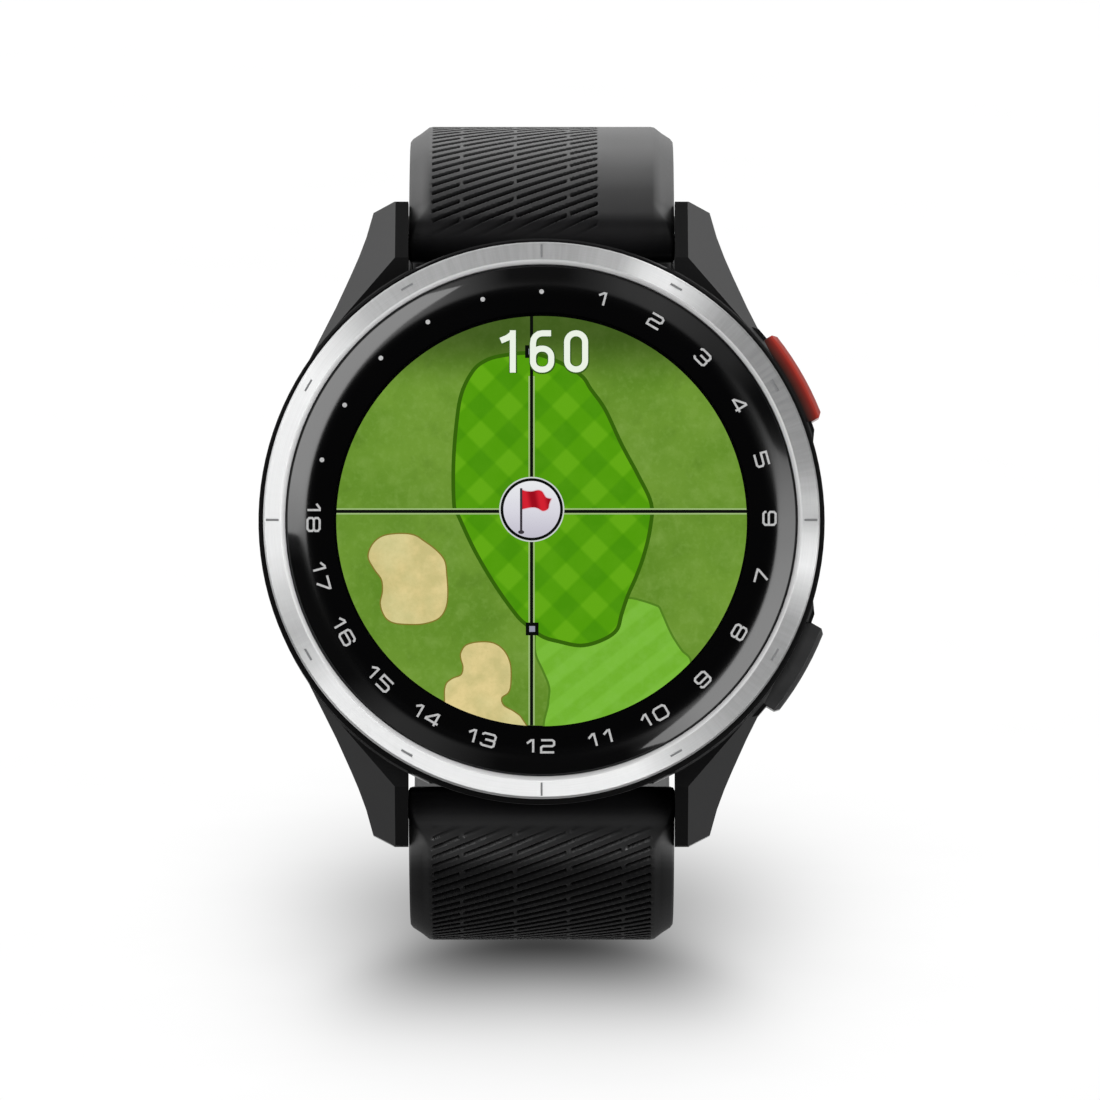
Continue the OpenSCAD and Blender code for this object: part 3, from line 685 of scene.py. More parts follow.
def strap_distances(lower, first_length, total):
    """Stations along the bends, close together over the grooves."""
    out = []
    step = 0.1
    distance = 0.0
    while distance < first_length + (22.0 if lower else 19.0):
        out.append(distance)
        distance += step
    tip = 11.0
    while distance < total - (tip if lower else 3.2):
        out.append(distance)
        distance += 0.9
    if lower:
        out += [total - tip * (1 - (k / 29.0)) ** 1.6 for k in range(30)]
    return out


def strap_sections(lower):
    """Sections down a strap: outer point, inner point, half width, share of
    the full bevel, and distance from the start of the first bend."""
    sections = []
    count = 30
    for i in range(count):           # nose, from the case side round
        angle = rad(8 + (90 - 8) * i / count)
        middle = SPRING_BAR - NOSE_R * math.cos(angle) * NOSE_ALONG
        rise = NOSE_R * math.sin(angle) * NOSE_OUT
        half = HALF_WIDTH - 0.18 * (1 - smooth01(i * 15 / count / 5))
        distance = -(math.pi / 2 - angle) * NOSE_R
        sections.append((middle + rise, middle - rise, half, bevel_share(distance), distance))

    flat_start = SPRING_BAR - NOSE_R * NOSE_OUT
    flat_end = FIRST_CENTRE + (FIRST_R - THICK) * ray(-rad(FLAT_UNTIL))
    first_length = FIRST_R * rad(FIRST_BEND)
    centre, radius = main_bend(lower)
    total = first_length + (LOWER_LENGTH if lower else UPPER_R * BUCKLE_ANGLE)
    for distance in strap_distances(lower, first_length, total):
        if distance <= first_length:
            angle = rad(FIRST_BEND) - distance / FIRST_R
            outer = FIRST_CENTRE + FIRST_R * ray(-angle)
            inner = FIRST_CENTRE + (FIRST_R - THICK) * ray(-angle)
            if math.degrees(angle) > FLAT_UNTIL:
                share = (FIRST_BEND - math.degrees(angle)) / (FIRST_BEND - FLAT_UNTIL)
                inner = flat_start + (flat_end - flat_start) * share
        else:
            direction = ray((distance - first_length) / radius)
            outer = centre + radius * direction
            inner = centre + (radius - THICK) * direction
        half = HALF_WIDTH
        to_tip = total - distance
        if lower and to_tip < HALF_WIDTH:
            half = max(0.55, math.sqrt(max(0.0, HALF_WIDTH ** 2 - (HALF_WIDTH - to_tip) ** 2)))
        sections.append((outer, inner, half, bevel_share(distance), distance))

    if not lower:                    # eye round the buckle bar
        bar, outward, down = buckle_bar()
        for along in [-3.2 + 0.28 * k for k in range(6)] + [
                -1.52, -1.3, -1.0, -0.6, -0.2, 0.2, 0.6, 1.0, 1.3, 1.55, 1.75, 1.88, 1.96]:
            rise = max(THICK / 2 if along < 0 else 0.0,
                       math.sqrt(max(0.02, EYE_R ** 2 - along * along)))
            sag = along * along / 2 / radius if along < -1.5 else 0.0
            middle = bar + down * along - outward * sag
            fade = smooth01((-along - 0.6) / 1.8)
            half = EYE_HALF_WIDTH + (HALF_WIDTH - EYE_HALF_WIDTH) * fade
            sections.append((middle + outward * rise, middle - outward * rise, half,
                             max(0.18, fade), total + along))
    return sections


def groove_depths(lower, distance, x):
    """Depth of the slanted grooves at the array x; they rise towards +x."""
    across = distance + x * GROOVE_SLOPE * (1 if lower else -1) + 0.35
    index = np.floor(across / GROOVE_PITCH)
    off = np.abs(across / GROOVE_PITCH - index - 0.5)
    half = GROOVE_WIDTH / 2 / GROOVE_PITCH
    wall = GROOVE_WALL / GROOVE_PITCH
    depth = 1 - np.clip((off - (half - wall / 2)) / wall, 0, 1)
    depth = depth * depth * (3 - 2 * depth)
    x_low, x_high = -8.5, (8.5 if lower else 4.35)
    mask = np.clip((x_high - x) / 0.12, 0, 1) * np.clip((x - x_low) / 0.12, 0, 1)
    dash = np.ones_like(x)
    for gap in GROOVE_BREAKS:
        dash = np.minimum(dash, np.clip((np.abs(x - gap) - 0.13) / 0.1, 0, 1))
    mask = mask * np.where(np.mod(index, 2) > 0.5, dash, 1.0)
    start = np.clip((distance + 0.5) / 2.4 if lower else (distance + 1.7) / 2.6, 0, 1)
    stop = 1 - np.clip((distance - (36.0 if lower else 37.0)) / 4.0, 0, 1)
    return GROOVE_DEPTH * depth * mask * start * stop


def strap_cutters(lower):
    """Spring bar bore and the slot beside it, then the holes of the lower
    strap, or the buckle bore and tang slot of the upper."""
    x_axis, y_axis = (1, 0, 0), (0, 1, 0)
    y, z = SPRING_BAR[0], SPRING_BAR[1] * (-1 if lower else 1)
    cutters = [prism((0, y, z), x_axis, y_axis, 40, disc(0.92, sides=40)),
               prism((5.85, y + 3.0, z), x_axis, y_axis, 2.6, rectangle(3.0, 0.6))]
    if lower:
        centre, radius = main_bend(True)
        middle = radius - THICK / 2
        for i in range(HOLE_COUNT):
            angle = rad(90 - math.degrees(HOLES_REACH / radius) - 1
                        + i * math.degrees(HOLE_PITCH / radius))
            y, z = math.cos(angle), math.sin(angle)
            cutters.append(prism((0, centre[0] + middle * y, -(centre[1] + middle * z)),
                                 (0, y, -z), x_axis, 12, disc(HOLE_R, sides=36)))
    else:
        bar, outward, down = buckle_bar()
        cutters += [prism((0, *bar), x_axis, y_axis, 40, disc(0.76, sides=36)),
                    prism((0, *(bar + down * 0.75)), (0, *outward), x_axis, 10,
                          rectangle(1.6, 4.25))]
    return cutters


def build_strap(name, lower, body, node, material):
    face_count = 172
    inner_count = 12
    mirror = -1.0 if lower else 1.0
    verts, marks = [], []
    sections = strap_sections(lower)
    for outer, inner, half, share, distance in sections:
        normal = outer - inner
        thick = float(np.linalg.norm(normal))
        normal = normal / thick
        bevel_w = min(0.3 + 1.45 * share, half * 0.3)
        bevel_h = min(0.28 + 0.82 * share, thick * 0.42)
        chamfer = min(0.35, thick * 0.2, half * 0.2)
        face_x = np.linspace(-(half - bevel_w), half - bevel_w, face_count)
        depths = groove_depths(lower, distance, face_x)
        # softened bevel, side wall and inner chamfer, as (x, depth)
        side = [(half - bevel_w + 0.16 * bevel_w, 0.05 * bevel_h),
                (half - bevel_w * 0.5, bevel_h * 0.47), (half - 0.12 * bevel_w, bevel_h * 0.87),
                (half - 0.02, bevel_h + 0.12), (half, bevel_h + 0.25 * (thick - bevel_h)),
                (half, thick - chamfer - 0.1), (half - 0.3 * chamfer, thick - 0.35 * chamfer),
                (half - chamfer, thick - 0.02 * chamfer)]
        inner_x = half - chamfer * 1.3
        loop = list(zip(face_x, depths)) + side
        loop += [(x, thick) for x in np.linspace(inner_x, -inner_x, inner_count)]
        loop += [(-x, depth) for x, depth in reversed(side)]
        marks += [float(depth) / GROOVE_DEPTH for depth in depths]
        marks += [0.0] * (len(loop) - face_count)
        for x, depth in loop:
            y, z = outer - normal * depth
            verts.append((x * MM, y * MM, mirror * z * MM))
    ring = len(loop)
    faces = tube_faces(len(sections), ring, False)
    faces.append(tuple(range(ring - 1, -1, -1)))
    faces.append(tuple(range(len(verts) - ring, len(verts))))
    obj = mesh_object(name, verts, faces, body, material, "strap_silicone")
    attribute = obj.data.attributes.new("groove", "FLOAT", "POINT")
    attribute.data.foreach_set("value", marks)
    for cutter in strap_cutters(lower):
        cut_away(obj, *cutter)
    mesh = obj.data
    if lower:                        # lift the part beyond z = -24 a little
        for vertex in mesh.vertices:
            vertex.co.z += 0.00023 * smooth01((abs(vertex.co.z) - 0.024) / 0.008)
    if not mesh.materials:           # in case the cuts drop the material
        mesh.materials.append(material)
    smooth(mesh, 50)
    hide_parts(node)


# Section of a keeper's band: (share of its thickness, share of its half width).
KEEPER_SECTION = (
    (0.0, -1.0), (0.12, -1.04), (0.5, -1.06), (0.85, -1.0), (1.0, -0.82), (1.02, -0.3),
    (1.02, 0.3), (1.0, 0.82), (0.85, 1.0), (0.5, 1.06), (0.12, 1.04), (0.0, 1.0), (0.0, 0.4),
    (0.0, -0.4))


def build_keeper(name, degrees, clear, body, node, material):
    """Soft rounded loop round the upper strap, centred at the given angle
    above +y on the main bend."""
    thick, half_band = 1.2, 2.35
    half = HALF_WIDTH + clear
    centre, radius = main_bend(False)
    low, high = radius - THICK - clear, radius + 3.1
    inner = rounded_box(-half, half, low, high, radius=0.25, steps=6)
    outer = rounded_box(-half - thick, half + thick, low - thick, high + thick,
                        radius=1.1, steps=6)
    verts = []
    for (x0, r0), (x1, r1) in zip(inner, outer):
        for out, along in KEEPER_SECTION:
            x = x0 + (x1 - x0) * out * 0.98
            r = r0 + (r1 - r0) * out * 0.98
            y, z = centre + r * ray(rad(90 - degrees) + along * half_band / radius)
            verts.append((x * MM, y * MM, z * MM))
    obj = mesh_object(name, verts, tube_faces(len(inner), len(KEEPER_SECTION), True), body,
                      material, "strap_silicone", 60)
    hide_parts(node)


# ------------------------------------------------------------------ dial print

# Strokes of each digit in a unit box: (points, closed).
DIGITS = {
    "0": [([(0.16, 0), (0, 0.16), (0, 0.84), (0.16, 1), (0.84, 1), (1, 0.84), (1, 0.16),
            (0.84, 0)], True)],
    "1": [([(0.1, 0.74), (0.42, 1), (0.56, 1), (0.56, 0)], False)],
    "2": [([(0, 1), (0.86, 1), (1, 0.88), (1, 0.62), (0.86, 0.51), (0.14, 0.51), (0, 0.40),
            (0, 0), (1, 0)], False)],
    "3": [([(0, 0.82), (0, 0.92), (0.12, 1), (0.86, 1), (1, 0.88), (1, 0.62), (0.9, 0.51),
            (1, 0.40), (1, 0.12), (0.86, 0), (0.12, 0), (0, 0.08), (0, 0.18)], False),
          ([(0.25, 0.51), (0.88, 0.51)], False)],
    "4": [([(0.8, 0), (0.8, 1), (0.68, 1), (0, 0.36), (0, 0.26), (1.05, 0.26)], False)],
    "5": [([(1, 1), (0, 1), (0, 0.56), (0.86, 0.56), (1, 0.44), (1, 0.12), (0.86, 0),
            (0, 0)], False)],
    "6": [([(1, 0.75), (1, 0.88), (0.86, 1), (0.16, 1), (0, 0.86), (0, 0.14), (0.16, 0),
            (0.86, 0), (1, 0.12), (1, 0.44), (0.86, 0.56), (0, 0.56)], False)],
    "7": [([(0, 1), (1, 1), (1, 0.9), (0.42, 0)], False)],
    "8": [([(0.16, 0), (0, 0.14), (0, 0.40), (0.14, 0.52), (0, 0.64), (0, 0.86), (0.16, 1),
            (0.84, 1), (1, 0.86), (1, 0.64), (0.86, 0.52), (1, 0.40), (1, 0.14),
            (0.84, 0)], True),
          ([(0.14, 0.52), (0.86, 0.52)], False)],
    "9": [([(0, 0.25), (0, 0.12), (0.14, 0), (0.84, 0), (1, 0.14), (1, 0.86), (0.84, 1),
            (0.14, 1), (0, 0.88), (0, 0.56), (0.14, 0.44), (1, 0.44)], False)],
}
DIGIT_WIDTH, DIGIT_HEIGHT, DIGIT_STROKE, DIGIT_GAP = 1.16, 1.1, 0.165, 0.50
PRINT_HEIGHTS = (GLASS_TOP + 0.002, GLASS_TOP + 0.009)


def numeral(text, centre, up):
    """Ribbons for a number, centred, with the given up direction."""
    up_u, up_v = up
    widths = [DIGIT_WIDTH * (0.6 if digit == "1" else 1.0) for digit in text]
    left = -(sum(widths) + DIGIT_GAP * (len(text) - 1)) / 2
    parts = []
    for digit, width in zip(text, widths):
        span = DIGIT_WIDTH * 0.9 if digit == "1" else width - DIGIT_STROKE
        for points, closed in DIGITS[digit]:
            path = []
            for a, b in points:
                x = left + a * span + DIGIT_STROKE / 2
                y = (b - 0.5) * (DIGIT_HEIGHT - DIGIT_STROKE)
                path.append((centre[0] + up_v * x + up_u * y, centre[1] - up_u * x + up_v * y))
            parts.append(ribbon(path, DIGIT_STROKE, *PRINT_HEIGHTS, closed))
        left += width + DIGIT_GAP
    return parts


def build_border():
    """Black ring round the screen, with numerals 1 to 18 and six dots."""
    shader = Shader("print_black")
    noise = shader.noise(scale=5000, detail=2)
    black = shader.surface(Base_Color=(0.002, 0.002, 0.0022), Specular_IOR_Level=0.0,
                           Roughness=shader.remap(noise, span=(0.3, 0.7), to=(0.45, 0.6)))
    low, high = ART_BACK + 0.04, ART_BACK + 0.162
    inner, outer = 15.8, 18.45
    profile = ((inner, low), (inner, high), (outer, high), (outer, low))
    art_object("dial_border", [turned(profile, 192)], black)

    marks = []
    numeral_r, dot_ring_r = 17.52, 17.475
    for hole in range(1, 19):
        angle = rad(90 - 15 * hole)
        u, v = math.cos(angle), math.sin(angle)
        up = (u, v) if hole <= 5 else (-u, -v)
        side = 0.13 if hole > 9 else 0.0
        centre = (numeral_r * u + side * v, numeral_r * v - side * u + 0.12)
        marks += numeral(str(hole), centre, up)
    for degrees in range(165, 89, -15):
        angle = rad(degrees)
        u, v = dot_ring_r * math.cos(angle), dot_ring_r * math.sin(angle) + 0.10
        marks.append(slab(disc(0.18, u, v, sides=20), *PRINT_HEIGHTS))
    # the numerals and dots are print, yet glow: painted light keeps their grey fixed under any
    # lamp
    shader = Shader("dial_print_glow")
    noise = shader.noise(scale=9000, detail=2)
    grey = shader.mix(shader.remap(noise, span=(0.35, 0.65)), srgb(172, 172, 172),
                      srgb(196, 196, 196))
    art_object("dial_numerals", marks, shader.glow(grey, strength=1.0))


# ------------------------------------------------------------------ screen art
# Thin layers of glowing plates; levels are heights above the artwork's back.

ART_BACK = 10.31
ART_THICK = 0.004
SCREEN_V = 0.198                     # v of the screen's middle
CROSS_REACH = 15.923
CROSS_U, CROSS_V = -0.769, 0.744
MARKER_U, MARKER_V = -0.754, 0.898
GREEN_STRIPES = (-2.5, 8.86723)      # point where the mowing stripes cross

# Outlines on the screen: (u, v) through which a smooth curve runs.
GREEN = [
    (-3.100, 12.736), (-4.354, 12.344), (-5.292, 11.560), (-6.162, 9.829), (-6.554, 7.483),
    (-6.785, 4.336), (-6.731, 1.198), (-6.392, 0.383), (-5.138, -2.287), (-3.569, -4.956),
    (-2.000, -7.156), (-1.215, -7.940), (0.038, -8.879), (1.300, -9.271), (3.023, -9.587),
    (4.592, -9.194), (5.769, -8.410), (6.162, -7.156), (6.638, -5.740), (7.262, -4.333),
    (7.885, -2.602), (8.362, -0.564), (8.438, 1.352), (7.423, 3.552), (6.162, 5.906),
    (4.908, 8.575), (3.808, 10.144), (3.023, 11.244), (1.138, 12.344), (-0.885, 12.944)]
FRINGE = [
    (4.500, -6.056), (6.638, -5.994), (7.731, -6.210), (8.731, -6.548), (9.008, -6.702),
    (9.208, -7.133), (9.931, -8.748), (10.715, -9.979), (11.423, -10.979), (10.654, -13.748),
    (7.577, -16.056), (4.500, -16.671), (0.515, -16.364), (0.592, -14.056), (0.669, -12.810),
    (0.200, -11.548), (-0.354, -10.294), (-0.431, -9.040), (-0.115, -7.748), (2.192, -6.825)]
LEFT_BUNKER = [
    (-13.300, -2.756), (-12.985, -1.817), (-12.200, -1.187), (-10.946, -1.002),
    (-9.846, -1.110), (-9.062, -1.579), (-8.123, -2.287), (-7.500, -3.071), (-7.338, -4.171),
    (-7.262, -5.587), (-7.415, -6.687), (-7.962, -7.471), (-9.062, -7.864), (-10.323, -7.910),
    (-11.423, -7.779), (-12.046, -7.310), (-12.362, -6.371), (-12.200, -5.425),
    (-12.285, -4.487), (-12.831, -3.702)]
LOWER_BUNKER = [
    (-6.162, -10.140), (-5.769, -9.587), (-4.823, -9.356), (-3.723, -9.433), (-2.938, -9.979),
    (-2.469, -10.925), (-2.392, -12.179), (-2.546, -13.117), (-3.100, -13.594),
    (-2.938, -14.217), (-2.154, -14.687), (-1.531, -15.240), (-1.346, -16.210),
    (-4.731, -16.210), (-7.192, -15.440), (-7.415, -13.671), (-7.338, -12.648),
    (-6.869, -12.179), (-6.162, -11.864), (-6.000, -11.233), (-6.162, -10.610)]
FLAG_TOP = [
    (-1.562, 2.421), (-1.192, 2.298), (-0.731, 2.275), (-0.269, 2.375), (0.054, 2.252),
    (0.346, 1.821), (0.746, 1.713)]
FLAG_BOTTOM = [
    (0.746, 1.713), (0.592, 1.329), (0.500, 0.944), (0.115, 0.775), (-0.269, 0.975),
    (-0.577, 1.052), (-0.962, 1.029), (-1.531, 0.898)]
# The distance, 160, as strokes: (points, closed).
DISTANCE = [
    (rounded_box(1.9615, 3.3538, 11.6826, 14.4672, radius=0.6846, steps=8, turn=-1), True),
    (rounded_box(-0.6615, 0.7462, 11.6672, 13.2826, radius=0.6462, steps=8, turn=-1), True),
    ([(-0.6615, 12.4057), (-0.6615, 13.6826), (-0.6077, 14.0057), (-0.4538, 14.2518),
      (-0.2231, 14.4134), (0.0692, 14.4672), (0.7308, 14.4672)], False),
    ([(-2.2154, 11.4365), (-2.2154, 14.698)], False),
    ([(-2.1462, 14.4826), (-2.6077, 14.1288), (-3.1462, 13.898)], False)]


def mat_rough():
    """Mottled grass, darker towards the top of the screen."""
    shader = Shader("screen_rough")
    z = shader.xyz()[2]
    broad = shader.noise(scale=150, detail=3, rough=0.6)
    middling = shader.noise(scale=520, detail=4, rough=0.6)
    fine = shader.noise(scale=2400, detail=2, rough=0.6)
    colour = shader.mix(shader.remap(broad, span=(0.35, 0.65)), srgb(98, 138, 42),
                        srgb(114, 152, 54))
    colour = shader.mix(shader.remap(middling, span=(0.5, 0.72), to=(0, 0.5)), colour,
                        srgb(130, 164, 74))
    colour = shader.mix(shader.remap(middling, span=(0.25, 0.42), to=(0.4, 0.0)), colour,
                        srgb(86, 122, 36))
    colour = shader.mix(shader.remap(fine, span=(0.5, 0.75), to=(0, 0.22)), colour,
                        srgb(140, 176, 84))
    top = shader.remap(z, span=(0.0098, 0.0145), to=(0.0, 0.72), kind="SMOOTHSTEP")
    return shader.glow(shader.mix(top, colour, srgb(40, 56, 22)))


def mat_green():
    """Mown grass with stripes crossing on both diagonals."""
    shader = Shader("screen_green")
    x, _, z = shader.xyz()
    diagonal = math.sqrt(0.5)
    cycle = TURN / 0.0031
    u, v = GREEN_STRIPES
    stripes = []
    for sign in (1, -1):
        across = x * diagonal + z * (diagonal * sign) - (u + sign * v) * diagonal * MM
        stripes.append(shader.remap((across * cycle).cosine(), span=(-0.22, 0.22), to=(0, 0.5)))
    colour = shader.ramp(stripes[0] + stripes[1], [
        (0.0, srgb(74, 145, 12)), (0.5, srgb(84, 155, 13)), (1.0, srgb(101, 169, 22))])
    flecks = shader.remap(shader.noise(scale=700, detail=3), span=(0.4, 0.7), to=(0, 0.18))
    return shader.glow(shader.mix(flecks, colour, srgb(102, 168, 28)))


def mat_fringe():
    """Paler grass with slanted stripes."""
    shader = Shader("screen_fringe")
    x, _, z = shader.xyz()
    slant, cycle = rad(38), TURN / 0.00192
    across = x * math.sin(slant) + z * -math.cos(slant)
    wave = (across * cycle).sine()
    noise = shader.noise(scale=1400, detail=3)
    colour = shader.mix(shader.remap(wave, span=(-0.35, 0.35)), srgb(116, 178, 48),
                        srgb(124, 186, 58))
    flecks = shader.remap(noise, span=(0.4, 0.7), to=(0, 0.25))
    return shader.glow(shader.mix(flecks, colour, srgb(140, 196, 84)))


def mat_sand():
    shader = Shader("screen_sand")
    middling = shader.noise(scale=520, detail=3, rough=0.6)
    broad = shader.noise(scale=240, detail=2)
    fine = shader.noise(scale=3600, detail=2, rough=0.6)
    colour = shader.mix(shader.remap(middling, span=(0.38, 0.62)), srgb(206, 192, 132),
                        srgb(230, 208, 148))
    colour = shader.mix(shader.remap(broad, span=(0.45, 0.65), to=(0, 0.5)), colour,
                        srgb(214, 208, 152))
    grains = shader.remap(fine, span=(0.4, 0.7), to=(0, 0.16))
    return shader.glow(shader.mix(grains, colour, srgb(190, 174, 112)))


def mat_marker_face():
    """Pale lilac, lighter towards the top."""
    shader = Shader("screen_marker_face")
    z = shader.xyz()[2]
    rise = shader.remap(z, span=((MARKER_V - 2.2) * MM, (MARKER_V + 2.2) * MM))
    return shader.glow(shader.ramp(rise, [
        (0.0, srgb(196, 190, 205)), (0.5, srgb(222, 218, 228)), (1.0, srgb(238, 236, 240))]))


def mat_flag():
    """Red cloth with soft folds."""
    shader = Shader("screen_flag_red")
    x, _, z = shader.xyz()
    fold_cycle, fold_lean = TURN / 0.0013, 900.0
    wave = (x * fold_cycle + z * fold_lean).sine()
    return shader.glow(shader.mix(shader.remap(wave, span=(-0.8, 0.8)), srgb(158, 14, 30),
                                  srgb(214, 34, 50)))


def stroke(points, width, level, closed=True):
    top = ART_BACK + level
    return ribbon(points, width, top - ART_THICK, top, closed)


def fill(outline, level):
    top = ART_BACK + level
    return slab(outline, top - ART_THICK, top)


def art_object(name, parts, material):
    merged_object(name, parts, "case", material, "display_black")


def flat_art(name, parts, levels, wobble=0.06):
    """Artwork in one colour, with a material of the same name."""
    art_object(name, parts, flat_glow(name, levels, wobble))


def build_course():
    """Rough, fringe, green and bunkers, each edged with a darker line."""
    green, fringe = catmull(GREEN), catmull(FRINGE)
    bunkers = catmull(LEFT_BUNKER), catmull(LOWER_BUNKER)
    art_object("screen_rough", [fill(disc(15.95, 0.0, SCREEN_V), level=0.020)], mat_rough())
    art_object("screen_fringe", [fill(fringe, level=0.030)], mat_fringe())
    flat_art("screen_fringe_edge", [stroke(fringe, width=0.3231, level=0.0265)], (84, 128, 34))
    art_object("screen_green", [fill(green, level=0.040)], mat_green())
    flat_art("screen_green_edge", [stroke(green, width=0.2923, level=0.050)], (54, 98, 12))
    art_object("screen_sand", [fill(b, level=0.040) for b in bunkers], mat_sand())
    flat_art("screen_sand_edge", [stroke(b, width=0.2, level=0.0385) for b in bunkers],
             (132, 118, 48))


def build_cross(dark):
    """Cross hair: a dark core between two light lines."""
    bottom, top = SCREEN_V - CROSS_REACH, SCREEN_V + CROSS_REACH
    level_line = [(-CROSS_REACH, CROSS_V), (CROSS_REACH, CROSS_V)]

    def cross(start, width, level):
        upright = [(CROSS_U, start), (CROSS_U, bottom)]
        return [stroke(level_line, width, level, False),
                stroke(upright if start < top else upright, width, level, False)]

    art_object("screen_cross_light", cross(start=11.175, width=0.4769, level=0.060),
               flat_glow("screen_line_light", (160, 186, 122), 0.03))
    art_object("screen_cross_dark", cross(start=top, width=0.2462, level=0.066), dark)


def build_marker(dark):
    """Round marker near the crossing, with a flag on a pole."""
    def round_plate(radius, level):
        return [fill(disc(radius, MARKER_U, MARKER_V), level)]

    flat_art("screen_marker_rim", round_plate(2.5077, level=0.072), (205, 208, 205), 0.02)
    art_object("screen_marker_ring", round_plate(2.4, level=0.078), dark)
    art_object("screen_marker_face", round_plate(2.1846, level=0.084), mat_marker_face())
    flag = catmull(FLAG_TOP, False, 5) + catmull(FLAG_BOTTOM, False, 5)[1:]
    glow = ribbon(flag, 0.1231, ART_BACK + 0.086, ART_BACK + 0.088, True)
    flat_art("screen_flag_glow", [glow], (226, 190, 202), 0.0)
    art_object("screen_flag", [fill(flag, level=0.093)], mat_flag())
    pole_u, pole_top, pole_foot = -1.5692, 2.529, -0.825
    base_v, base_half_width, base_half_height = -0.856, 0.2385, 0.1462
    base = [(pole_u + base_half_width * a, base_v - base_half_height * b)
            for a, b in disc(1, sides=28)]
    pole = [(pole_u, pole_top), (pole_u, pole_foot)]
    flat_art("screen_flag_pole", [stroke(pole, width=0.1769, level=0.097, closed=False),
                                  fill(base, level=0.090)], (58, 52, 60), 0.0)


def build_handles(dark):
    """Two small square handles on the upright line."""
    def squares(half, level):
        return [fill([(u + a, v - b) for a, b in rectangle(half, half)], level)
                for u, v in ((-0.7231, -8.3097), (-0.7769, 13.0595))]

    half = 0.4923
    art_object("screen_handle_dark", squares(half, level=0.074), dark)
    flat_art("screen_handle_light", squares(half * 0.45, level=0.080), (150, 150, 168), 0.02)


def build_distance():
    """The distance, with a wider shadow down and to the right."""
    shadow = [stroke([(u + 0.0231, v - 0.0385) for u, v in points], 0.6308, 0.120, closed)
              for points, closed in DISTANCE]
    digits = [stroke(points, 0.4615, 0.150, closed) for points, closed in DISTANCE]
    flat_art("screen_number_shadow", shadow, (58, 92, 26), 0.0)
    flat_art("screen_number", digits, (240, 244, 232), 0.0)


def build_screen():
    build_course()
    dark = flat_glow("screen_line_dark", (12, 14, 12), 0.0)
    build_cross(dark)
    build_marker(dark)
    build_handles(dark)
    build_distance()
    build_border()


# ------------------------------------------------------------------ assembly

SILICONE = mat_silicone("strap_silicone", MOULDED_BLACK)
STRAP_UPPER = mat_strap("strap_silicone_upper", UPPER_PAINTED_SHEEN, low=21, high=33)
STRAP_LOWER = mat_strap("strap_silicone_lower", LOWER_PAINTED_SHEEN, low=-33, high=-21)
STEEL = mat_metal("satin_steel", (0.56, 0.57, 0.58), rough=0.27, stretch=(1, 6, 6))
BUCKLE = mat_metal("buckle_steel", (0.40, 0.41, 0.42), rough=0.30, stretch=(1, 8, 8))

# Button cap tones with painted shading, dark next to the case: (radius in mm, colour).
ORANGE_CAP = [
    (21.7, srgb(10, 9, 9)), (21.95, srgb(20, 15, 14)), (22.08, srgb(56, 20, 13)),
    (22.35, srgb(84, 20, 9)), (22.6, srgb(116, 20, 9)), (22.78, srgb(158, 42, 28)),
    (23.05, srgb(130, 40, 30))]
BLACK_CAP = [
    (21.7, (0.0015, 0.0015, 0.0015)), (22.1, (0.005, 0.005, 0.0052)),
    (22.4, (0.008, 0.008, 0.0085)), (23.2, (0.008, 0.008, 0.0085))]

MATERIALS = {
    "case_housing": mat_case(),
    "bezel": mat_bezel("brushed_bezel"),
    "lens": mat_glass("lens_glass"),
    "lens_gasket": mat_silicone("gasket_black", (0.0022, 0.0022, 0.0022), rough=0.8, spec=0.0),
    "display_panel": mat_polymer("display_black", (0.004, 0.004, 0.0045), rough=0.2),
    "display_flex": mat_polymer("flex_amber", (0.30, 0.14, 0.03), rough=0.35, grain=6000),
    "inner_frame": mat_polymer("frame_grey", (0.035, 0.035, 0.038), rough=0.5),
    "frame_screws": STEEL,
    "main_board": mat_board("board_green"),
    "shield_can": mat_metal("tin_plate", (0.62, 0.62, 0.63), rough=0.3),
    "board_chips": mat_polymer("chip_black", (0.012, 0.012, 0.013), rough=0.5),
    "gps_antenna": mat_metal("copper_foil", (0.62, 0.33, 0.14), rough=0.3),
    "battery": mat_metal("battery_foil", (0.60, 0.61, 0.63), rough=0.35, scale=900,
                         depth=0.00002),
    "battery_lead": mat_paint("wire_red", (0.45, 0.02, 0.015), rough=0.4),
    "vibration_motor": mat_metal("motor_can", (0.55, 0.55, 0.56), rough=0.25),
    "rear_cover": mat_polymer("rear_polymer", (0.020, 0.020, 0.021), rough=0.34),
    "rear_gasket": mat_silicone("gasket_red", (0.22, 0.02, 0.015), rough=0.7),
    "rear_screws": STEEL,
    "charge_port": mat_polymer("port_black", (0.008, 0.008, 0.009), rough=0.3),
    "charge_contacts": mat_metal("contact_gold", (0.85, 0.58, 0.22), rough=0.18),
    "start_switch": mat_polymer("switch_black", (0.02, 0.02, 0.022), rough=0.4),
    "back_switch": mat_polymer("switch_black_b", (0.02, 0.02, 0.022), rough=0.4),
    "start_button_cap": mat_cap("cap_orange", ORANGE_CAP, rough=0.32, spec=0.34),
    "back_button_cap": mat_cap("cap_black", BLACK_CAP, rough=0.36),
    "start_button_seal": mat_silicone("seal_black", (0.01, 0.01, 0.01), rough=0.6),
    "back_button_seal": mat_silicone("seal_black_b", (0.01, 0.01, 0.01), rough=0.6),
    "buckle_frame": BUCKLE,
    "buckle_tang": BUCKLE,
}
BEVELS = {"case_housing": 0.12, "bezel": 0.03, "buckle_frame": 0.18, "buckle_tang": 0.12,
          "start_button_cap": 0.12, "back_button_cap": 0.12, "rear_cover": 0.05,
          "charge_port": 0.04, "rear_screws": 0.04}


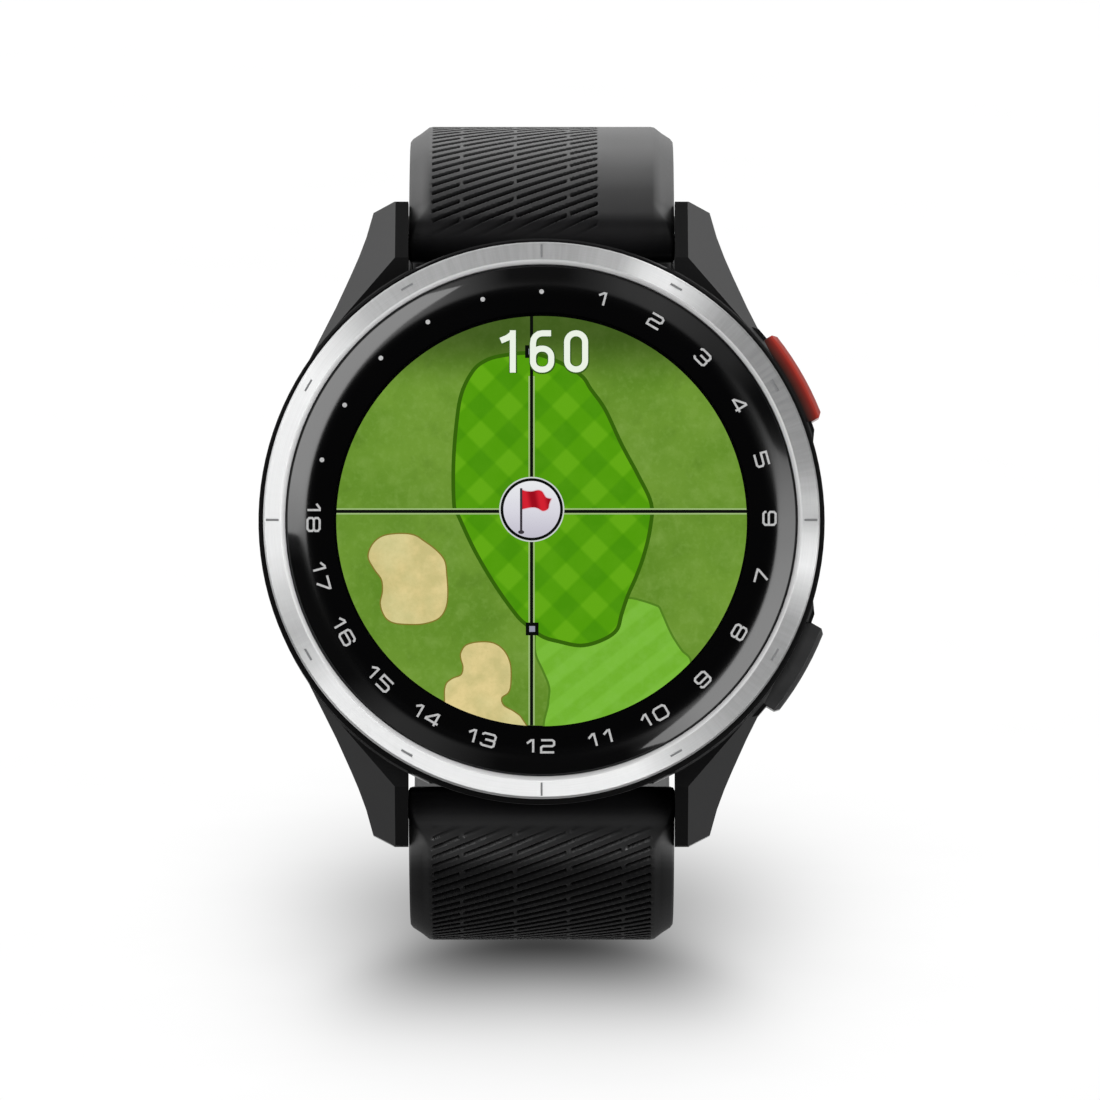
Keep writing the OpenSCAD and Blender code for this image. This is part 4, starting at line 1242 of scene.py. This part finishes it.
def dress(name, obj):
    """Gives a CAD piece its material and, where listed, soft edges."""
    material = MATERIALS.get(name, STEEL)
    slots = obj.data.materials
    if slots:
        for i in range(len(slots)):
            slots[i] = material
    else:
        slots.append(material)
    if name in BEVELS:
        weld = obj.modifiers.new("weld", "WELD")
        weld.merge_threshold = 1e-6
        bevel = obj.modifiers.new("soft_edge", "BEVEL")
        bevel.width = BEVELS[name] * MM
        bevel.segments = 2
        bevel.limit_method = "ANGLE"
        bevel.angle_limit = rad(28)
        bevel.harden_normals = False
        bevel.use_clamp_overlap = True


def build_glass():
    """The watch glass, one turned piece that falls away towards its edge."""
    axis_r, back, rim, flat = 0.001, 10.5, 19.66, 17.7
    fall, easing = 0.45, 1.09        # edge slope, and the length it eases in over
    profile = [(axis_r, back), (rim, back), (rim, GLASS_TOP - 0.6)]
    for i in range(25):
        out = (rim - 0.04 - flat) * (1 - i / 24)
        drop = fall * (out - easing * (1 - math.exp(-out / easing)))
        profile.append((flat + out, GLASS_TOP - drop))
    profile += [(12.0, GLASS_TOP), (6.0, GLASS_TOP), (axis_r, GLASS_TOP)]
    obj = mesh_object("watch_glass", *turned(profile, 360), "case", MATERIALS["lens"],
                      "lens_glass", 28)
    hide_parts("lens")


def build_bezel_marks():
    """Dark sheets in the twelve engraved marks on the bezel, painted shade in their recesses."""
    shader = Shader("mark_painted_shade")
    noise = shader.noise(scale=9000, detail=2)
    # painted shade: a dark grey sheet on the floor of each engraved mark
    material = shader.surface(
        Base_Color=shader.mix(noise, (0.11, 0.112, 0.115), (0.17, 0.172, 0.175)),
        Metallic=0.5, Roughness=0.5)
    parts = []
    for i in range(12):
        cos, sin = math.cos(rad(30 * i)), math.sin(rad(30 * i))
        # radial bars at the quarters, bars along the ring between them
        inner, outer, half = (20.2, 21.2, 0.075) if i % 3 == 0 else (20.625, 20.775, 0.5)
        outline = [(r * cos - side * sin, r * sin + side * cos) for r, side in
                   ((inner, -half), (outer, -half), (outer, half), (inner, half))]
        parts.append(slab(outline, GLASS_TOP - 0.079, GLASS_TOP - 0.035))
    merged_object("bezel_mark_painted_shade", parts, "case", material, "bezel_metal")


for node_name, node_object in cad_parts.items():
    dress(node_name, node_object)

build_screen()
build_glass()
build_bezel_marks()
build_strap("strap_upper_silicone", False, "upper_strap", "strap_upper", STRAP_UPPER)
build_strap("strap_lower_silicone", True, "lower_strap", "strap_lower", STRAP_LOWER)
build_keeper("keeper_fixed", 36.2, 0.0, "upper_strap", "fixed_keeper", SILICONE)
build_keeper("keeper_sliding", 46.0, 0.15, "strap_slider", "sliding_keeper", SILICONE)


# ------------------------------------------------------------------ stage
# Lengths here are in metres.

ELEVATION = rad(-2.3)                # the camera is a little below the dial's axis
DISTANCE_TO_CAMERA = 1.3

# The two soft pools of the watch's shade, as the camera sees them: darkness,
# half width, height of the middle, reach up, reach down, squareness and the
# lift of the shade towards the middle.
SHADE_SPREAD = 0.0147
SHADE_POOLS = (
    (0.318, 0.0142, -0.03295, 0.0022, 0.0042, 4.0, 0.0029),
    (0.712, 0.01730, -0.02978, 0.00592, 0.0085, 2.5, 0.0))


def mat_floor():
    """White with painted shade for the camera, dim grey for other rays."""
    shader = Shader("floor_white")
    x, y, z = shader.xyz()
    # the floor point as the camera sees it, in the plane of the bezel
    depth = y + GLASS_TOP * MM
    scale = depth / DISTANCE_TO_CAMERA + 1.0
    u = x / scale
    v = (z * math.cos(ELEVATION) - depth * math.sin(-ELEVATION)) / scale
    pools = []
    for amount, half_width, middle, reach_up, reach_down, power, dip in SHADE_POOLS:
        rise = (v - middle) + abs(u / SHADE_SPREAD) ** 2.0 * dip
        reach = (rise > 0.0) * (reach_up - reach_down) + reach_down
        falloff = abs(u / half_width) ** power + abs(rise / reach) ** 2.0
        pools.append((falloff * -1.0).exponent() * amount)
    lit = 1.0 - (pools[0] + pools[1])
    lit = lit * shader.remap(shader.noise(scale=60, detail=3), span=(0.3, 0.7), to=(1.0, 1.015))
    white = shader.node("Emission", {"Color": shader.combine(lit, lit, lit)})
    grey = shader.node("BsdfDiffuse", {"Color": (0.08, 0.08, 0.08)})
    seen = shader.node("LightPath", out="Is Camera Ray")
    return shader.finish(shader.mix_shader(seen, grey, white))


def build_floor():
    """A plain floor, rising away from the camera so that its top is seen."""
    slope = math.tan(rad(12.0))
    pivot_y, pivot_z = 0.0311, -0.0306
    reach = 1.6
    verts = [(x, y, pivot_z + (y - pivot_y) * slope)
             for y in (-reach, reach) for x in (-reach, reach)]
    mesh = bpy.data.meshes.new("floor")
    mesh.from_pydata(verts, [], [(0, 1, 3, 2)])
    obj = bpy.data.objects.new("floor", mesh)
    bpy.context.scene.collection.objects.link(obj)
    mesh.materials.append(mat_floor())
    obj.visible_glossy = False
    obj.visible_shadow = False


def add_light(name, location, size, radiance):
    """Area light aimed at the origin and hidden from the camera."""
    light = bpy.data.lights.new(name, "AREA")
    light.shape = "RECTANGLE"
    light.size, light.size_y = size
    light.energy = radiance * math.pi * size[0] * size[1]
    obj = bpy.data.objects.new(name, light)
    bpy.context.scene.collection.objects.link(obj)
    obj.location = location
    obj.rotation_euler = (-Vector(location)).to_track_quat("-Z", "Y").to_euler()
    obj.visible_camera = False


# World brightness in a ring round the lens axis, by share of a turn.
WORLD_PATCHES = [
    (0.0, 1.6), (0.03, 1.4), (0.062, 0.4), (0.08, 0.1), (0.095, 0.12), (0.12, 1.1), (0.2, 0.9),
    (0.235, 0.1), (0.27, 0.12), (0.30, 1.4), (0.32, 2.0), (0.462, 2.0), (0.49, 0.5),
    (0.515, 0.05), (0.60, 0.05), (0.64, 0.7), (0.67, 0.6), (0.72, 0.04), (0.81, 0.04),
    (0.838, 0.6), (0.87, 2.0), (0.98, 2.0), (1.0, 1.5)]
# Brightness from -Y to +Y and from -Z to +Z, each over 0 to 1.
WORLD_DEPTH = [(0.10, 0.03), (0.37, 0.05), (0.46, 0.5), (0.5, 0.9), (0.75, 1.0), (1.0, 1.0)]
WORLD_HEIGHT = [(0.0, 0.02), (0.06, 0.05), (0.2, 1.0), (0.5, 1.0), (0.8, 1.8), (1.0, 1.8)]


def build_world():
    """Studio surroundings for reflections: dark straight ahead of the dial,
    soft patches in a ring round the lens axis, bright above and at the
    sides, dark below.  The camera itself sees plain white."""
    shader = Shader("studio", world=True)
    bpy.context.scene.world = shader.owner
    x, y, z = shader.xyz()
    ahead = y * -1.0
    patches = shader.ramp(shader.turn(z.arctan2(x)), WORLD_PATCHES)
    by_depth = shader.ramp(shader.remap(y, span=(-1, 1)), WORLD_DEPTH)
    by_height = shader.ramp(shader.remap(z, span=(-1, 1)), WORLD_HEIGHT)
    rest = shader.mix(1.0, by_depth, by_height, "MULTIPLY")
    colour = shader.mix(shader.remap(ahead, span=(0.64, 0.74)), rest, patches)
    colour = shader.mix(shader.remap(ahead, span=(0.925, 0.965)), colour, (0.003, 0.003, 0.003))
    studio = shader.node("Background", {0: colour})
    white = shader.node("Background", {0: (1, 1, 1)})
    seen = shader.node("LightPath", out="Is Camera Ray")
    shader.finish(shader.mix_shader(seen, studio, white))


def build_camera():
    """Long lens, far away, aimed a little right of and below the middle."""
    focal_per_metre = 362 / 0.85
    aim_right, aim_down = 0.65 * MM, 2.31 * MM
    back = Vector((0, -math.cos(ELEVATION), math.sin(ELEVATION)))
    up = Vector((0, math.sin(ELEVATION), math.cos(ELEVATION)))
    data = bpy.data.cameras.new("camera")
    data.sensor_width = 36
    data.lens = focal_per_metre * DISTANCE_TO_CAMERA
    data.clip_start = 0.01
    data.clip_end = 20
    camera = bpy.data.objects.new("camera", data)
    scene = bpy.context.scene
    scene.collection.objects.link(camera)
    target = Vector(place(0, 0, GLASS_TOP)) + Vector((aim_right, 0, 0)) - up * aim_down
    camera.location = target + back * DISTANCE_TO_CAMERA
    camera.rotation_euler = (-back).to_track_quat("-Z", "Y").to_euler()
    scene.camera = camera
    scene.view_settings.view_transform = "Standard"
    scene.view_settings.look = "None"


build_floor()
add_light("soft_left", location=(-0.43, -0.62, 0.27), size=(0.50, 0.56), radiance=5.0)
add_light("soft_right", location=(0.46, -0.62, -0.15), size=(0.50, 0.66), radiance=4.8)
add_light("soft_top", location=(0.0, 0.25, 0.80), size=(1.2, 0.6), radiance=2.0)
build_world()
build_camera()
